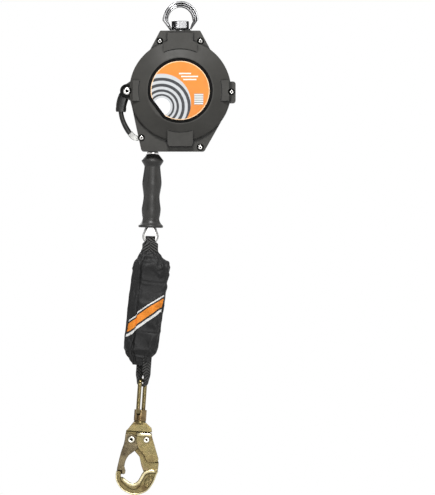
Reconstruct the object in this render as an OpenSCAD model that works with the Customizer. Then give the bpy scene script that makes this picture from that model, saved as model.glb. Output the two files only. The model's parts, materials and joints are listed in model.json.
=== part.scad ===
// Self retracting lifeline: a sealed block with a sprung cable drum and a centrifugal
// brake, hung from a swivel eye, with a hand grip, a shock pack and a double-locking hook.
// X is to the right, Y is from front to back, Z is up. Sizes are in millimetres.
// The shapes of the block are measured from the drum's axis; hung() then moves the
// origin to the saddle of the anchor eye, where the device hangs.

/* [Housing] */
// Radius of the round body around the cable drum
body_r = 94; // [88:1:113]
// Thickness of the housing at its corners
corner_t = 54; // [50:1:65]
// Thickness of the housing across the two round faces
bulge_t = 92; // [88:1:111]
// Wall thickness of the two covers
wall = 3; // [2.4:0.1:3.6]
// Height of the flat top edge above the round body
top_rise = 17; // [12:1:24]
// Width of the flat top edge
top_w = 74; // [62:1:89]
// Distance of the flat bottom edge below the round body
foot_drop = 18; // [12:1:40]
// Reach of the bottom edge to the left of the drum axis
foot_l = 71.6; // [68:0.2:86]
// Reach of the bottom edge to the right of the drum axis
foot_r = 44; // [37:1:53]
// Reach of the ear on the right, past the round body
ear_out = 8.3; // [5:0.1:12]
// Radius of the boss that holds the handle bolt
boss_r = 11.5; // [10:0.5:14]
// Width of the four raised lugs on each round face
lug_w = 47; // [39:1:56]
// Radius of the flat plateau on each round face
plateau_r = 62; // [60:1:70]
// Radius of the round label
label_r = 54.3; // [45:0.1:56]
// Distance from the drum axis to the straight edge of the label
label_chord = 50; // [40:0.5:52]
// Direction of the label's straight edge
label_angle = 217; // [200:1:240]

/* [Drum and brake] */
// Distance from the drum axis to the cable that leaves it
payout_r = 47.7; // [44:0.1:57]
// Diameter of the wire rope
rope_d = 4.8; // [4:0.1:5.8]
// Width of the cable drum over its two flanges
drum_w = 30; // [28:1:36]
// Radius of the drum flanges
flange_r = 80; // [66:1:84]
// Radius of the drum hub
hub_r = 28; // [22:1:34]
// Diameter of the main shaft
shaft_d = 16; // [13.4:0.1:19.2]
// Thickness of the two steel frame plates
plate_t = 3; // [2.5:0.1:3.6]
// Outer radius of the ratchet ring
ring_r = 62; // [60:1:70]
// Radius at the tips of the ratchet teeth
tooth_tip_r = 47; // [46:0.5:48]
// Radius at the roots of the ratchet teeth
tooth_root_r = 53; // [52.8:0.1:54]
// Number of ratchet teeth
teeth = 12; // [12:4:16]
// Thickness of the ratchet ring
ring_t = 7; // [6:0.5:8.4]
// Angle that a pawl turns through to engage
pawl_travel = 24; // [22:1:25]
// Radius of the spring case
spring_case_r = 66; // [55:1:67]

/* [Anchor eye] */
// Width of the anchor eye
eye_w = 66; // [56:1:79]
// Width of the hole in the anchor eye
eye_hole_w = 46; // [38:1:50]
// Height of the top of the hole above the housing
eye_hole_h = 43.5; // [40:0.5:52]
// Depth of the eye's band, front to back
eye_t = 17; // [14.5:0.5:20]
// Diameter of the swivel bolt
swivel_d = 12; // [10:0.5:14]
// Angle that the eye is turned at rest
eye_turn = 12; // [0:1:30]

/* [Handle] */
// Depth of the handle's rubber, front to back
handle_t = 16; // [13.5:0.5:19]

/* [Lifeline end] */
// Lean of the lifeline at rest, to the left going down
line_lean = 1.6; // [0:0.1:3]
// Length of the hand grip
grip_l = 136; // [114:1:163]
// Radius of the upper flange of the grip
grip_top_r = 20.2; // [18:0.1:24]
// Radius of the lower flange of the grip
grip_low_r = 22.9; // [19:0.1:27]
// Outer radius of the cable eye
cable_eye_r = 15.2; // [15.2:0.1:18.2]

/* [Shock pack] */
// Lean of the pack at rest, to the left going down
pack_lean = 7.1; // [0:0.1:9]
// Length of the pack, neck to hem
pack_l = 212; // [177:1:254]
// Width of the pack at its shoulders
pack_w = 68.5; // [58:0.5:82]
// Thickness of the pack, front to back
pack_t = 40; // [34:1:48]
// Width of the webbing
web_w = 29; // [25:1:35]
// Thickness of the webbing loops
web_t = 4; // [3.4:0.1:4.8]

/* [Snap hook] */
// Lean of the hook at rest, to the left going down
hook_lean = 4; // [0:0.1:8]
// Angle that the link is turned about the swivel
link_turn = 70; // [0:1:90]
// Width of the link
link_w = 34; // [34:1:41]
// Length of the link, from its top bar to its bottom bar
link_l = 60.8; // [51:0.1:73]
// Diameter of the link's rod
link_d = 6.3; // [5.3:0.1:6.6]
// Radius of the swivel barrel
barrel_r = 11.5; // [10:0.1:13.8]
// Height of the swivel barrel
barrel_h = 19; // [16:0.5:23]
// Thickness of the hook's lower limb
hook_t = 14; // [12:0.5:14.4]
// Angle that the gate opens through
gate_travel = 22; // [18:1:22]
// Angle that the lock lever is pressed through
lock_travel = 5; // [4:0.5:5]

/* [Hidden] */
$fn = 64;

// Colours
cover_grey = [0.30, 0.30, 0.29];
plate_grey = [0.60, 0.62, 0.64];
bolt_silver = [0.80, 0.80, 0.80];
rubber_black = [0.10, 0.10, 0.10];
web_black = [0.16, 0.16, 0.17];
zinc_gold = [0.72, 0.64, 0.38];
label_orange = [0.95, 0.50, 0.12];

// Clearances
run_fit = 0.08;
gap = 0.3;

// Depths, measured from the parting plane towards each face
rope_r = rope_d / 2;
flange_t = 3;
corner_half = corner_t / 2;
bulge_half = bulge_t / 2;
plate_in = drum_w / 2 + 2.5;
plate_out = plate_in + plate_t;
rim_half = corner_half + 5;
lug_r = plateau_r + 13.5;
lug_half = rim_half + (bulge_half - rim_half) * (body_r - lug_r) / (body_r - plateau_r);

// Housing features
top_h = body_r + top_rise;
foot_h = body_r + foot_drop;
ear_reach = body_r + ear_out;
tangent_r = body_r - 0.5;
groove_d = 2.6;
lug_groove_d = 1.2;
corner_round = 5;
top_round = 3;
screw_r = 3;
screw_hole_r = screw_r + 0.2;
spacer_r = screw_r + 2.4;
nut_well_d = 4.2;
screw_well_r = 6.5;
screw_well_d = 3.2;
screw_head_r = 4.9;
screw_head_h = 3;
boss_at = [-body_r - 4.4, -0.5];
shoulder_in = [0.632 * body_r, 0.771 * body_r];
screw_spots = [
    [-top_w / 2 - 0.6, top_h - 19.4],
    [top_w / 2 + 0.4, top_h - 19.4],
    [ear_reach - 7.6, -2.2],
    [-foot_l, -foot_h + 25],
    [foot_r - 7, -foot_h + 7.5]];
handle_screw = screw_spots[3];
handle_bolt_r = 4;
handle_head_r = 8;
handle_head_h = 5;
handle_seat = corner_half - 3;
strip_half = 5;
strip_eye_r = 6.5;
fitting_half = 3.5;

// Brake stack, front of the front plate
lining_t = 1.5;
ring_back = plate_out + lining_t;
ring_front = ring_back + ring_t;
pressure_t = 2.5;
pressure_front = ring_front + lining_t + pressure_t;
clamp_screw_at = ring_r + 3.6;
clamp_screw_r = 2;
tooth_ramp = 0.62;
tooth_lean = 5;
shaft_r = shaft_d / 2;
bush_r = shaft_r + 4;
carrier_t = 2.5;
carrier_back = plate_out + 1.6;
carrier_front = carrier_back + carrier_t;
pawl_back = carrier_front + 0.3;
pawl_t = 3.6;
pawl_front = pawl_back + pawl_t;
carrier_r = tooth_tip_r - 3;
pawl_pivot_r = 36;
pawl_boss_r = 7;
pawl_l = 26;
pawl_pin_r = 3;
pawl_pin_head = 1.5;
pawl_pin_head_r = 5;
pawl_spring_gap = 2.2;

// Spring pack, behind the rear plate
case_wall = 1.6;
case_back = plate_out + 15;
spring_turns = 7;
spring_in_r = 15;
lid_t = 1.5;
case_screw_at = spring_case_r - 5;
case_screw_r = 1.5;

// Anchor swivel
eye_base = top_h + 1;
saddle_h = top_h + eye_hole_h;
swivel_r = swivel_d / 2;
swivel_head_w = 28.8;
swivel_head_h = 14;
eye_base_t = 3.5;
bracket_top = top_h - 7;
bracket_low = bracket_top - 12;

// Lifeline end, measured down the line from the drum axis
wound_r = payout_r + rope_r;
nozzle_top = -foot_h + 17;
nozzle_r = 9.5;
mouth_r = 7;
mouth = -foot_h - 6;
grip_top = mouth - gap;
grip_end = grip_top - grip_l;
run_start = -sqrt(wound_r * wound_r - pow(payout_r - rope_r - 0.5, 2));
ferrule_top = grip_end + 50;
ferrule_end = grip_end + 16;
ferrule_r = 6.5;
eye_mid_r = cable_eye_r - rope_r;
thimble_in_r = eye_mid_r - rope_r - 1;
thimble_half = rope_r + 2;
eye_centre = grip_end - 16;
bow_centre = eye_centre - (cable_eye_r + thimble_in_r) / 2 + 1.1;
web_bight_r = 6.4;
neck_drop = bow_centre - 14;

// Shock pack, measured from the pivot at its neck
pack_shift = 5.6;
pack_hem_w = 65.4;
link_drop = 29;
link_at = [16.3, -pack_l - link_drop];
web_socket = 4.2;
strap_half = 9;
leg_spread = 12.6;
leg_rise = 56;
tear_top = -42.4;
tear_low = link_at[1] + leg_rise + 3.92;
tear_half_w = pack_w * 0.34;
tear_half_t = pack_t * 0.25;

// Hook, measured from the centre of the link's top bar; its shoulder is the datum
barrel_foot = 3;
bar_lift = barrel_h + barrel_foot - 4.9;
shoulder = -(link_l + bar_lift);
link_r = link_d / 2;
link_corner = 7.85;
stem_r = 5;
stem_head_r = 7;
stem_l = 8.2;
stem_head_t = 4;
shoulder_half = 9;
coil_well_r = 6;
forging_half = 5.5;
cheek_t = 1.5;
gate_in = forging_half + gap;
gate_out = gate_in + cheek_t;
lever_in = gate_out + gap;
lever_out = lever_in + cheek_t;
gate_pivot = [-13.4, -32.5];
lock_pivot = [14.6, -31.5];
rivet_r = 2.6;
rivet_head_r = 5.4;

// ---- Vector and outline helpers ----

function unit(v) = v / norm(v);
function turned(v, a) = [v[0] * cos(a) - v[1] * sin(a), v[0] * sin(a) + v[1] * cos(a)];
function polar(r, a) = [r * cos(a), r * sin(a)];
function cross2(a, b) = a[0] * b[1] - a[1] * b[0];

// The point where a line from p touches a circle of radius r about c
function touch(p, c, r, side) =
    let (d = p - c, a = atan2(d[1], d[0]) + side * acos(r / norm(d)))
    c + polar(r, a);

// The points of an arc that rounds corner b between its neighbours a and c
function rounded(a, b, c, r, n = 6) =
    let (u = unit(a - b), v = unit(c - b), half = acos(u * v) / 2,
        centre = b + unit(u + v) * r / sin(half), start = b + u * r / tan(half),
        sweep = (180 - 2 * half) * sign(cross2(b - a, c - b)))
    [for (i = [0:n]) centre + turned(start - centre, sweep * i / n)];

// An outline with each corner moved inwards by d; corners run anticlockwise
function inset(pts, d) =
    let (n = len(pts))
    [for (i = [0:n - 1])
        let (a = pts[(i + n - 1) % n], b = pts[i], c = pts[(i + 1) % n],
            p = turned(unit(b - a), 90), q = turned(unit(c - b), 90))
        b + (p + q) * d / (1 + p * q)];

// A smooth closed curve through the given points, with n steps between neighbours
function smooth(pts, n = 4) =
    let (m = len(pts))
    [for (i = [0:m - 1], k = [0:n - 1])
        let (t = k / n, a = pts[(i + m - 1) % m], b = pts[i], c = pts[(i + 1) % m],
            d = pts[(i + 2) % m])
        0.5 * (2 * b + (c - a) * t + (2 * a - 5 * b + 4 * c - d) * t * t
            + (3 * b - a - 3 * c + d) * t * t * t)];

// A smooth open curve through the given points; each may carry a half width
function run_of(pts, n = 4) =
    let (m = len(pts))
    concat([for (i = [0:m - 2], k = [0:n - 1])
        let (t = k / n, a = pts[max(i - 1, 0)], b = pts[i], c = pts[i + 1],
            d = pts[min(i + 2, m - 1)])
        0.5 * (2 * b + (c - a) * t + (2 * a - 5 * b + 4 * c - d) * t * t
            + (3 * b - a - 3 * c + d) * t * t * t)], [pts[m - 1]]);

// The outline of a strap along a curve of [x, z, half width]
function strap(pts, side_of = 0) =
    let (c = run_of(pts), m = len(c) - 1,
        side = [for (i = [0:m])
            let (d = c[min(i + 1, m)] - c[max(i - 1, 0)], u = unit([d[0], d[1]]))
            [-u[1], u[0]] * (side_of > 0 ? side_of : c[i][2])])
    concat([for (i = [0:m]) [c[i][0], c[i][1]] + side[i]],
        [for (i = [m:-1:0]) [c[i][0], c[i][1]] - side[i]]);

// ---- Frames and solids ----

// Moves the origin from the drum axis to the saddle of the anchor eye
module hung() {
    translate([0, 0, -saddle_h]) children();
}

// The lifeline's own frame: it leans about the drum axis
module line_frame() {
    hung() rotate([0, line_lean, 0]) children();
}

// The frame on the lifeline's own axis
module on_line() {
    line_frame() translate([-payout_r, 0, 0]) children();
}

function lean(v, a) = [v[0] * cos(a) + v[1] * sin(a), -v[0] * sin(a) + v[1] * cos(a)];
pack_pivot = lean([-payout_r, neck_drop], line_lean);
link_pivot = pack_pivot + lean(link_at, pack_lean);

module pack_frame() {
    hung() translate([pack_pivot[0], 0, pack_pivot[1]]) rotate([0, pack_lean, 0]) children();
}

module link_frame() {
    hung() translate([link_pivot[0], 0, link_pivot[1]]) rotate([0, hook_lean, 0]) children();
}

module hook_frame() {
    link_frame() translate([0, 0, shoulder]) children();
}

// Extrudes a front-view drawing between two depths
module slab(y_front, y_back) {
    translate([0, y_back, 0]) rotate([90, 0, 0]) linear_extrude(y_back - y_front) children();
}

// Revolves a profile of [radius, depth towards the front] about the drum axis
module spun() {
    rotate([90, 0, 0]) rotate_extrude() children();
}

// A round bar between two points
module rod(p, q, r) {
    d = q - p;
    translate(p) rotate([0, acos(d[2] / norm(d)), atan2(d[1], d[0])]) cylinder(h = norm(d), r = r);
}

// A hexagonal drawing of the given width across its flats
module hexagon(across) {
    circle(r = across / 2 / cos(30), $fn = 6);
}

// ---- Housing outline ----

function top_outline() = [
    [shoulder_in[0], shoulder_in[1] - 6],
    [shoulder_in[0] - 2, shoulder_in[1]],
    [top_w / 2, top_h],
    [-top_w / 2, top_h],
    [2 - shoulder_in[0], shoulder_in[1]],
    [-shoulder_in[0], shoulder_in[1] - 6]];

foot_left = [-foot_l, -foot_h];
foot_right = [foot_r, -foot_h];
function foot_outline() = [
    touch(foot_left, [0, 0], tangent_r, -1), foot_left, foot_right,
    touch(foot_right, [0, 0], tangent_r, 1)];

ear_top = [body_r - 14, 17];
function ear_outline() = [
    ear_top, [body_r - 14, -22.5], [ear_reach, -22.5], [ear_reach, 17]];

function boss_outline() =
    let (high = [-body_r + 8, 22], low = [-body_r + 8, -22])
    concat([high], [for (a = [118, 150, 210, 242]) boss_at + polar(boss_r - 0.2, a)], [low]);

module rounded_polygon(pts, r) {
    n = len(pts);
    polygon([for (i = [0:n - 1]) each rounded(pts[(i + n - 1) % n], pts[i], pts[(i + 1) % n], r)]);
}

// The front view of the housing, drawn in by d
module housing_outline(d = 0) {
    circle(r = body_r - d, $fn = 128);
    rounded_polygon(inset(top_outline(), d), top_round - d / 2);
    rounded_polygon(inset(foot_outline(), d), corner_round - d);
    rounded_polygon(inset(ear_outline(), d), corner_round - d);
    polygon(inset(boss_outline(), d));
    translate(boss_at) circle(r = boss_r - d);
}

// A disc with one straight edge, for the label and its groove
module label_disc(r, chord) {
    intersection() {
        circle(r = r, $fn = 128);
        rotate(label_angle) translate([chord - 2 * body_r, -body_r]) square(2 * body_r);
    }
}

// The four raised lugs of a round face
module lug_drawing(d = 0) {
    half = lug_w / 2;
    polygon([[half - d, top_h - 4 - d], [d - half, top_h - 4 - d], [d - half, body_r - 2],
        [-half - 7.5 + d, body_r - 8], [-half - 7.5 + d, 0], [half + 7.5 - d, 0],
        [half + 7.5 - d, body_r - 8], [half - d, body_r - 2]]);
    polygon([[2.5 + d - half, 9.5 + d - foot_h], [half - 2.5 - d, 9.5 + d - foot_h],
        [half - d, 15 - foot_h], [half - d, 0], [d - half, 0], [d - half, 15 - foot_h]]);
    translate([6 - body_r + d, -19 + d]) square([2 * body_r - 10 - 2 * d, 38 - 2 * d]);
}

// The fine groove across each raised lug, at its inner edge
module lug_groove() {
    intersection() {
        slab(-lug_half - 1, -lug_half + lug_groove_d) lug_drawing(1);
        spun() polygon([[lug_r + 0.5, 0], [lug_r + 2, 0], [lug_r + 2, bulge_half],
            [lug_r + 0.5, bulge_half]]);
    }
}

// One cover's solid before it is hollowed, on the front side
module cover_blank() {
    difference() {
        union() {
            slab(-corner_half, 0) housing_outline();
            spun() polygon(concat([[0, 0], [body_r, 0]],
                rounded([body_r, 0], [body_r, rim_half], [plateau_r, bulge_half], 4),
                rounded([body_r, rim_half], [plateau_r, bulge_half], [0, bulge_half], 3),
                [[0, bulge_half]]));
            slab(-lug_half, -corner_half + 1) lug_drawing();
        }
        lug_groove();
    }
}

// The space inside one cover
module cover_hollow() {
    slope_in = wall / cos(atan2(bulge_half - rim_half, body_r - plateau_r));
    drop = bulge_half - groove_d - wall;
    difference() {
        union() {
            slab(-corner_half + wall, 1) housing_outline(wall);
            spun() polygon([[0, -1], [body_r - wall, -1], [body_r - wall, rim_half - slope_in + 1.4],
                [plateau_r - 1, drop], [0, drop]]);
        }
        for (s = screw_spots) {
            slab(-bulge_half, -plate_out) translate(s) circle(r = screw_well_r + 2);
        }
        slab(-bulge_half, -18) translate(boss_at) circle(r = boss_r + 1);
    }
}

// One cover: shell, screw wells and the windows at its rim
module cover(well_r, well_d) {
    difference() {
        cover_blank();
        cover_hollow();
        for (s = screw_spots) {
            slab(-bulge_half, 1) translate(s) circle(r = screw_hole_r);
            slab(-bulge_half, -corner_half + well_d) translate(s) circle(r = well_r);
        }
        slab(-bulge_half, 1) translate(boss_at) circle(r = handle_bolt_r + 0.2);
        slab(-bulge_half, -handle_seat) translate(boss_at) circle(r = handle_head_r + 0.6);
        translate([0, 0, top_h - 20]) cylinder(h = 40, r = swivel_r + 3);
        rotate([0, line_lean, 0]) translate([-payout_r, 0, mouth])
            cylinder(h = 30, r = nozzle_r + 0.2);
        slab(-handle_t / 2 - 0.5, 1) handle_drawing(0.5);
        slab(-fitting_half - 0.5, 1) fitting_drawing(0.5);
    }
}

module front_cover() {
    color(cover_grey) hung() difference() {
        cover(screw_well_r, screw_well_d);
        slab(-bulge_half - 1, -bulge_half + groove_d) difference() {
            label_disc(plateau_r - 2, label_chord + 6);
            label_disc(label_r + 0.5, label_chord + 0.5);
        }
        slab(-bulge_half - 1, -bulge_half + 1) label_disc(label_r + 1, label_chord + 1);
    }
}

module rear_cover() {
    color(cover_grey) hung() mirror([0, 1, 0]) cover(screw_well_r, nut_well_d);
}

module front_label() {
    color(label_orange) hung() slab(-bulge_half + 0.3, -bulge_half + 1)
        label_disc(label_r, label_chord);
}

// ---- Frame ----

// The front view of a frame plate
module plate_drawing() {
    difference() {
        intersection() {
            housing_outline(wall + 1);
            translate([-body_r + 5, -foot_h]) square([2 * body_r + 20, foot_h + top_h]);
        }
        translate(boss_at) circle(r = boss_r + 1.3);
        circle(r = bush_r);
        for (s = screw_spots) translate(s) circle(r = screw_hole_r);
        for (a = [0:60:300]) rotate(a) translate([clamp_screw_at, 0]) circle(r = clamp_screw_r);
    }
}

module front_frame_plate() {
    color(plate_grey) hung() slab(-plate_out, -plate_in) plate_drawing();
}

module rear_frame_plate() {
    color(plate_grey) hung() slab(plate_in, plate_out) difference() {
        plate_drawing();
        spring_screw_holes();
    }
}

// Tubes that hold the plates apart; the handle's fitting interrupts one of them
module frame_spacers() {
    color(bolt_silver) hung() for (s = screw_spots) {
        split = s == handle_screw ? 2 : 0;
        for (side = [[-plate_in, -split], [split, plate_in]]) {
            slab(side[0], side[1]) difference() {
                intersection() {
                    translate(s) circle(r = spacer_r);
                    housing_outline(wall + gap);
                }
                translate(s) circle(r = screw_hole_r);
            }
        }
    }
}

module cover_screws() {
    head = corner_half - screw_well_d;
    color(bolt_silver) hung() for (s = screw_spots) difference() {
        union() {
            slab(-head, corner_half - 1) translate(s) circle(r = screw_r);
            translate([s[0], -head, s[1]]) rotate([90, 0, 0]) rotate_extrude()
                polygon([[0, 0], [screw_head_r, 0], [screw_head_r, 1.2], [4, 2.3],
                    [2.6, screw_head_h], [0, screw_head_h]]);
        }
        slab(-head - 4, -head - 1.2) translate(s) hexagon(3.6);
    }
}

module cover_nuts() {
    seat = corner_half - nut_well_d;
    color(bolt_silver) hung() for (s = screw_spots) slab(seat, corner_half) difference() {
        translate(s) hexagon(10);
        translate(s) circle(r = screw_r);
    }
}

// Block between the plates that carries the swivel bolt
module top_bracket() {
    color(plate_grey) hung() difference() {
        translate([-26, -plate_in, bracket_low])
            cube([52, 2 * plate_in, bracket_top - bracket_low]);
        cylinder(h = 200, r = swivel_r + run_fit);
    }
}

module thrust_washer() {
    color(bolt_silver) hung() translate([0, 0, bracket_low - 2]) difference() {
        cylinder(h = 2, r = swivel_r + 6);
        translate([0, 0, -1]) cylinder(h = 4, r = swivel_r + run_fit);
    }
}

// Flanged bush in a frame plate, drawn on the front side
module bush() {
    spun() polygon([[shaft_r + run_fit, plate_in - 1.5], [bush_r + 3, plate_in - 1.5],
        [bush_r + 3, plate_in], [bush_r, plate_in], [bush_r, plate_out + 0.8],
        [shaft_r + run_fit, plate_out + 0.8]]);
}

module front_bearing() {
    color("darkgoldenrod") hung() bush();
}

module rear_bearing() {
    color("darkgoldenrod") hung() mirror([0, 1, 0]) bush();
}

// ---- Overload brake ----

module lining(y_front) {
    slab(y_front, y_front + lining_t) difference() {
        circle(r = ring_r - 1);
        circle(r = tooth_root_r + 1);
    }
}

module inner_brake_lining() {
    color("saddlebrown") hung() lining(-ring_back);
}

module outer_brake_lining() {
    color("saddlebrown") hung() lining(-ring_front - lining_t);
}

module brake_pressure_plate() {
    color(plate_grey) hung() slab(-pressure_front, -pressure_front + pressure_t) difference() {
        circle(r = clamp_screw_at + 4);
        circle(r = tooth_root_r + 4);
        for (a = [0:60:300]) rotate(a) translate([clamp_screw_at, 0])
            circle(r = clamp_screw_r + 0.2);
    }
}

module brake_clamp_screws() {
    color(bolt_silver) hung() for (a = [0:60:300]) {
        p = polar(clamp_screw_at, a);
        slab(-pressure_front, -plate_in) translate(p) circle(r = clamp_screw_r);
        slab(-pressure_front - 2.4, -pressure_front) difference() {
            translate(p) circle(r = 3.4);
            translate(p) hexagon(2.5);
        }
    }
}

// Ring with internal teeth that the pawls catch as the drum runs out too fast
module ratchet_ring() {
    pitch = 360 / teeth;
    color(plate_grey) hung() slab(-ring_front, -ring_back) difference() {
        circle(r = ring_r);
        polygon([for (i = [0:teeth - 1]) each [polar(tooth_tip_r, pitch * i + tooth_lean),
            polar(tooth_root_r, pitch * (i + tooth_ramp)), polar(tooth_root_r, pitch * (i + 1))]]);
    }
}

// ---- Power spring ----

module spring_screw_holes() {
    for (a = [30:60:330]) rotate(a) translate([case_screw_at, 0]) circle(r = case_screw_r + gap);
}

module spring_case() {
    color(plate_grey) hung() difference() {
        mirror([0, 1, 0]) spun() polygon([[bush_r + 3, plate_out], [spring_case_r, plate_out],
            [spring_case_r, case_back], [spring_case_r - case_wall, case_back],
            [spring_case_r - case_wall, plate_out + case_wall], [bush_r + 3, plate_out + case_wall]]);
        slab(plate_in, plate_out + case_wall + 1) spring_screw_holes();
    }
}

module spring_case_lid() {
    color(plate_grey) hung() slab(case_back, case_back + lid_t) difference() {
        circle(r = spring_case_r);
        circle(r = shaft_r + 2);
        spring_screw_holes();
    }
}

module spring_case_screws() {
    color(bolt_silver) hung() for (a = [30:60:330]) {
        p = polar(case_screw_at, a);
        slab(plate_in, case_back + lid_t) translate(p) circle(r = case_screw_r);
        slab(case_back + lid_t, case_back + 3.3) translate(p) circle(r = 2 * case_screw_r);
    }
}

// Flat clock spring, wound from the arbor out to the case
module power_spring() {
    steps = 20 * spring_turns;
    reach = spring_case_r - case_wall - 9.5 - spring_in_r;
    function coil(i, t) = polar(spring_in_r + reach * i / steps + t, i * 18);
    color("slategray") hung() slab(plate_out + case_wall + 0.5, case_back - 0.5)
        polygon(concat([for (i = [0:steps]) coil(i, 0)], [for (i = [steps:-1:0]) coil(i, 1.4)]));
}

// ---- Cable outlet ----

module outlet_nozzle() {
    color(rubber_black) on_line() difference() {
        union() {
            translate([0, 0, nozzle_top - 5]) cylinder(h = 5, r = nozzle_r + 4);
            translate([0, 0, -foot_h - 2.5]) cylinder(h = nozzle_top + foot_h, r = nozzle_r);
            translate([0, 0, mouth]) cylinder(h = 10, r = mouth_r);
        }
        translate([0, 0, mouth - 1]) cylinder(h = 60, r = rope_r + 0.9);
    }
}

module outlet_collar() {
    color(bolt_silver) on_line() translate([0, 0, mouth + 0.2]) difference() {
        cylinder(h = -foot_h - 2.5 - mouth - 0.2, r = nozzle_r + 1.1);
        translate([0, 0, -1]) cylinder(h = 10, r = mouth_r);
    }
}

// ---- Carry handle ----

boot_line = [
    [boss_at[0], boss_at[1], 8.5],
    [boss_at[0] - 6, boss_at[1] - 9.5, 10],
    [boss_at[0] - 10.2, boss_at[1] - 21.5, 10],
    [boss_at[0] - 11.4, boss_at[1] - 37, 9]];
strap_line = [
    [boss_at[0] - 11.4, boss_at[1] - 37, 4.6],
    [boss_at[0] - 9.4, boss_at[1] - 50, 4.5],
    [boss_at[0] - 4.6, boss_at[1] - 62, 4.7],
    [handle_screw[0] - 21.9, handle_screw[1] + 9.5, 4.8]];
fitting_line = [
    [handle_screw[0] - 21.9, handle_screw[1] + 9.5, 5.2],
    [handle_screw[0] - 15, handle_screw[1] + 2, 5.4],
    [handle_screw[0] - 7, handle_screw[1] - 0.6, 4.6],
    [handle_screw[0], handle_screw[1], 4.6]];

// The upper part of the handle where it enters the housing, grown by d
module handle_drawing(d) {
    polygon(strap([for (p = boot_line) [p[0], p[1], p[2] + d]]));
    translate(boss_at) circle(r = 9 + d);
}

module fitting_drawing(d) {
    polygon(strap([for (p = fitting_line) [p[0], p[1], p[2] + d]]));
    translate(handle_screw) circle(r = 4.6 + d + 1.5);
}

// Steel strip inside the rubber, with an eye for the bolt
module strap_drawing() {
    polygon(strap(concat([for (i = [0:2]) boot_line[i]], strap_line), 2));
}

module handle_boot() {
    color(rubber_black) hung() difference() {
        union() {
            slab(-handle_t / 2, handle_t / 2) polygon(strap(boot_line));
            slab(-handle_t / 2, handle_t / 2) translate(boss_at) circle(r = 9);
        }
        slab(-strip_half, strip_half) strap_drawing();
        slab(-handle_t, handle_t) translate(boss_at) circle(r = strip_eye_r + gap);
    }
}

module handle_grip() {
    color(rubber_black) hung() difference() {
        slab(-handle_t / 2 + 1.5, handle_t / 2 - 1.5) polygon(strap(strap_line));
        slab(-strip_half, strip_half) strap_drawing();
        slab(-handle_t, handle_t) handle_drawing(gap);
        slab(-handle_t, handle_t) fitting_drawing(gap);
    }
}

module handle_strap() {
    color(plate_grey) hung() difference() {
        union() {
            slab(-strip_half, strip_half) strap_drawing();
            slab(-strip_half, strip_half) translate(boss_at) circle(r = strip_eye_r);
        }
        slab(-handle_t, handle_t) translate(boss_at) circle(r = handle_bolt_r + gap);
        slab(-handle_t, handle_t) polygon(strap(fitting_line));
    }
}

// Forked silver fitting that joins the strap to the lower screw
module handle_end_fitting() {
    color(bolt_silver) hung() difference() {
        union() {
            slab(-2, 2) translate(handle_screw) circle(r = 6);
            slab(-fitting_half, fitting_half) intersection() {
                polygon(strap(fitting_line));
                translate([handle_screw[0] - 60, handle_screw[1] - 40])
                    square([60 - spacer_r - gap, 80]);
            }
        }
        slab(-handle_t, handle_t) translate(handle_screw) circle(r = screw_hole_r);
    }
}

module handle_bolt() {
    color(bolt_silver) hung() difference() {
        union() {
            slab(-handle_seat, corner_half - 1) translate(boss_at) circle(r = handle_bolt_r);
            translate([boss_at[0], -handle_seat, boss_at[1]]) rotate([90, 0, 0]) rotate_extrude()
                polygon([[0, 0], [handle_head_r, 0], [handle_head_r, 2.6], [6.4, 4.4],
                    [4.4, handle_head_h], [0, handle_head_h]]);
        }
        slab(-bulge_half, -handle_seat - 2) translate(boss_at) hexagon(6);
    }
}

module handle_nut() {
    color(bolt_silver) hung() slab(handle_seat, corner_half + 3) difference() {
        translate(boss_at) hexagon(13);
        translate(boss_at) circle(r = handle_bolt_r);
    }
}

// ---- Anchor swivel ----

// A round bow of radius r under the height top, whose legs draw in to a flat foot
module bow_drawing(r, top, foot_half, foot, corner) {
    intersection() {
        translate([0, top - r]) circle(r = r, $fn = 128);
        polygon([[-foot_half, foot], [foot_half, foot], [r + 0.5, corner], [r + 0.5, top + 1],
            [-r - 0.5, top + 1], [-r - 0.5, corner]]);
    }
}

module anchor_eye() {
    color("gainsboro") hung() rotate([0, 0, eye_turn]) difference() {
        union() {
            slab(-eye_t / 2, eye_t / 2) difference() {
                bow_drawing(eye_w / 2, saddle_h + 12, eye_w * 0.28, eye_base, eye_base + 19);
                bow_drawing(eye_hole_w / 2, saddle_h, eye_hole_w * 0.37, eye_base + eye_base_t,
                    eye_base + 19);
            }
            translate([0, 0, bracket_top]) cylinder(h = eye_base - bracket_top + 1, r = swivel_r + 2);
        }
        cylinder(h = 200, r = swivel_r + gap);
    }
}

module swivel_bolt() {
    head = eye_base + eye_base_t;
    color("silver") hung() rotate([0, 0, eye_turn]) {
        translate([0, 0, bracket_low - 15]) cylinder(h = head - bracket_low + 15, r = swivel_r);
        translate([0, 0, head]) linear_extrude(swivel_head_h) hexagon(swivel_head_w);
    }
}

module swivel_nut() {
    color("silver") hung() rotate([0, 0, eye_turn]) translate([0, 0, bracket_low - 12]) difference() {
        linear_extrude(10) hexagon(19);
        translate([0, 0, -1]) cylinder(h = 12, r = swivel_r);
    }
}

// ---- Drum ----

shaft_front = pawl_front + 6;
shaft_back = case_back - 2;
clip_t = 1.2;
clip_spots = [2 - shaft_front, shaft_back - 3.2];
clip_in_r = shaft_r - 0.8;

module main_shaft() {
    color(plate_grey) hung() difference() {
        slab(-shaft_front, shaft_back) circle(r = shaft_r);
        for (y = clip_spots) slab(y, y + clip_t) difference() {
            circle(r = shaft_r + 1);
            circle(r = clip_in_r);
        }
    }
}

module shaft_circlips() {
    color("dimgray") hung() for (y = clip_spots) slab(y, y + clip_t) difference() {
        circle(r = shaft_r + 2);
        circle(r = clip_in_r);
        translate([0, -shaft_r - 4]) square([3, 2 * shaft_r], center = true);
    }
}

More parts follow.
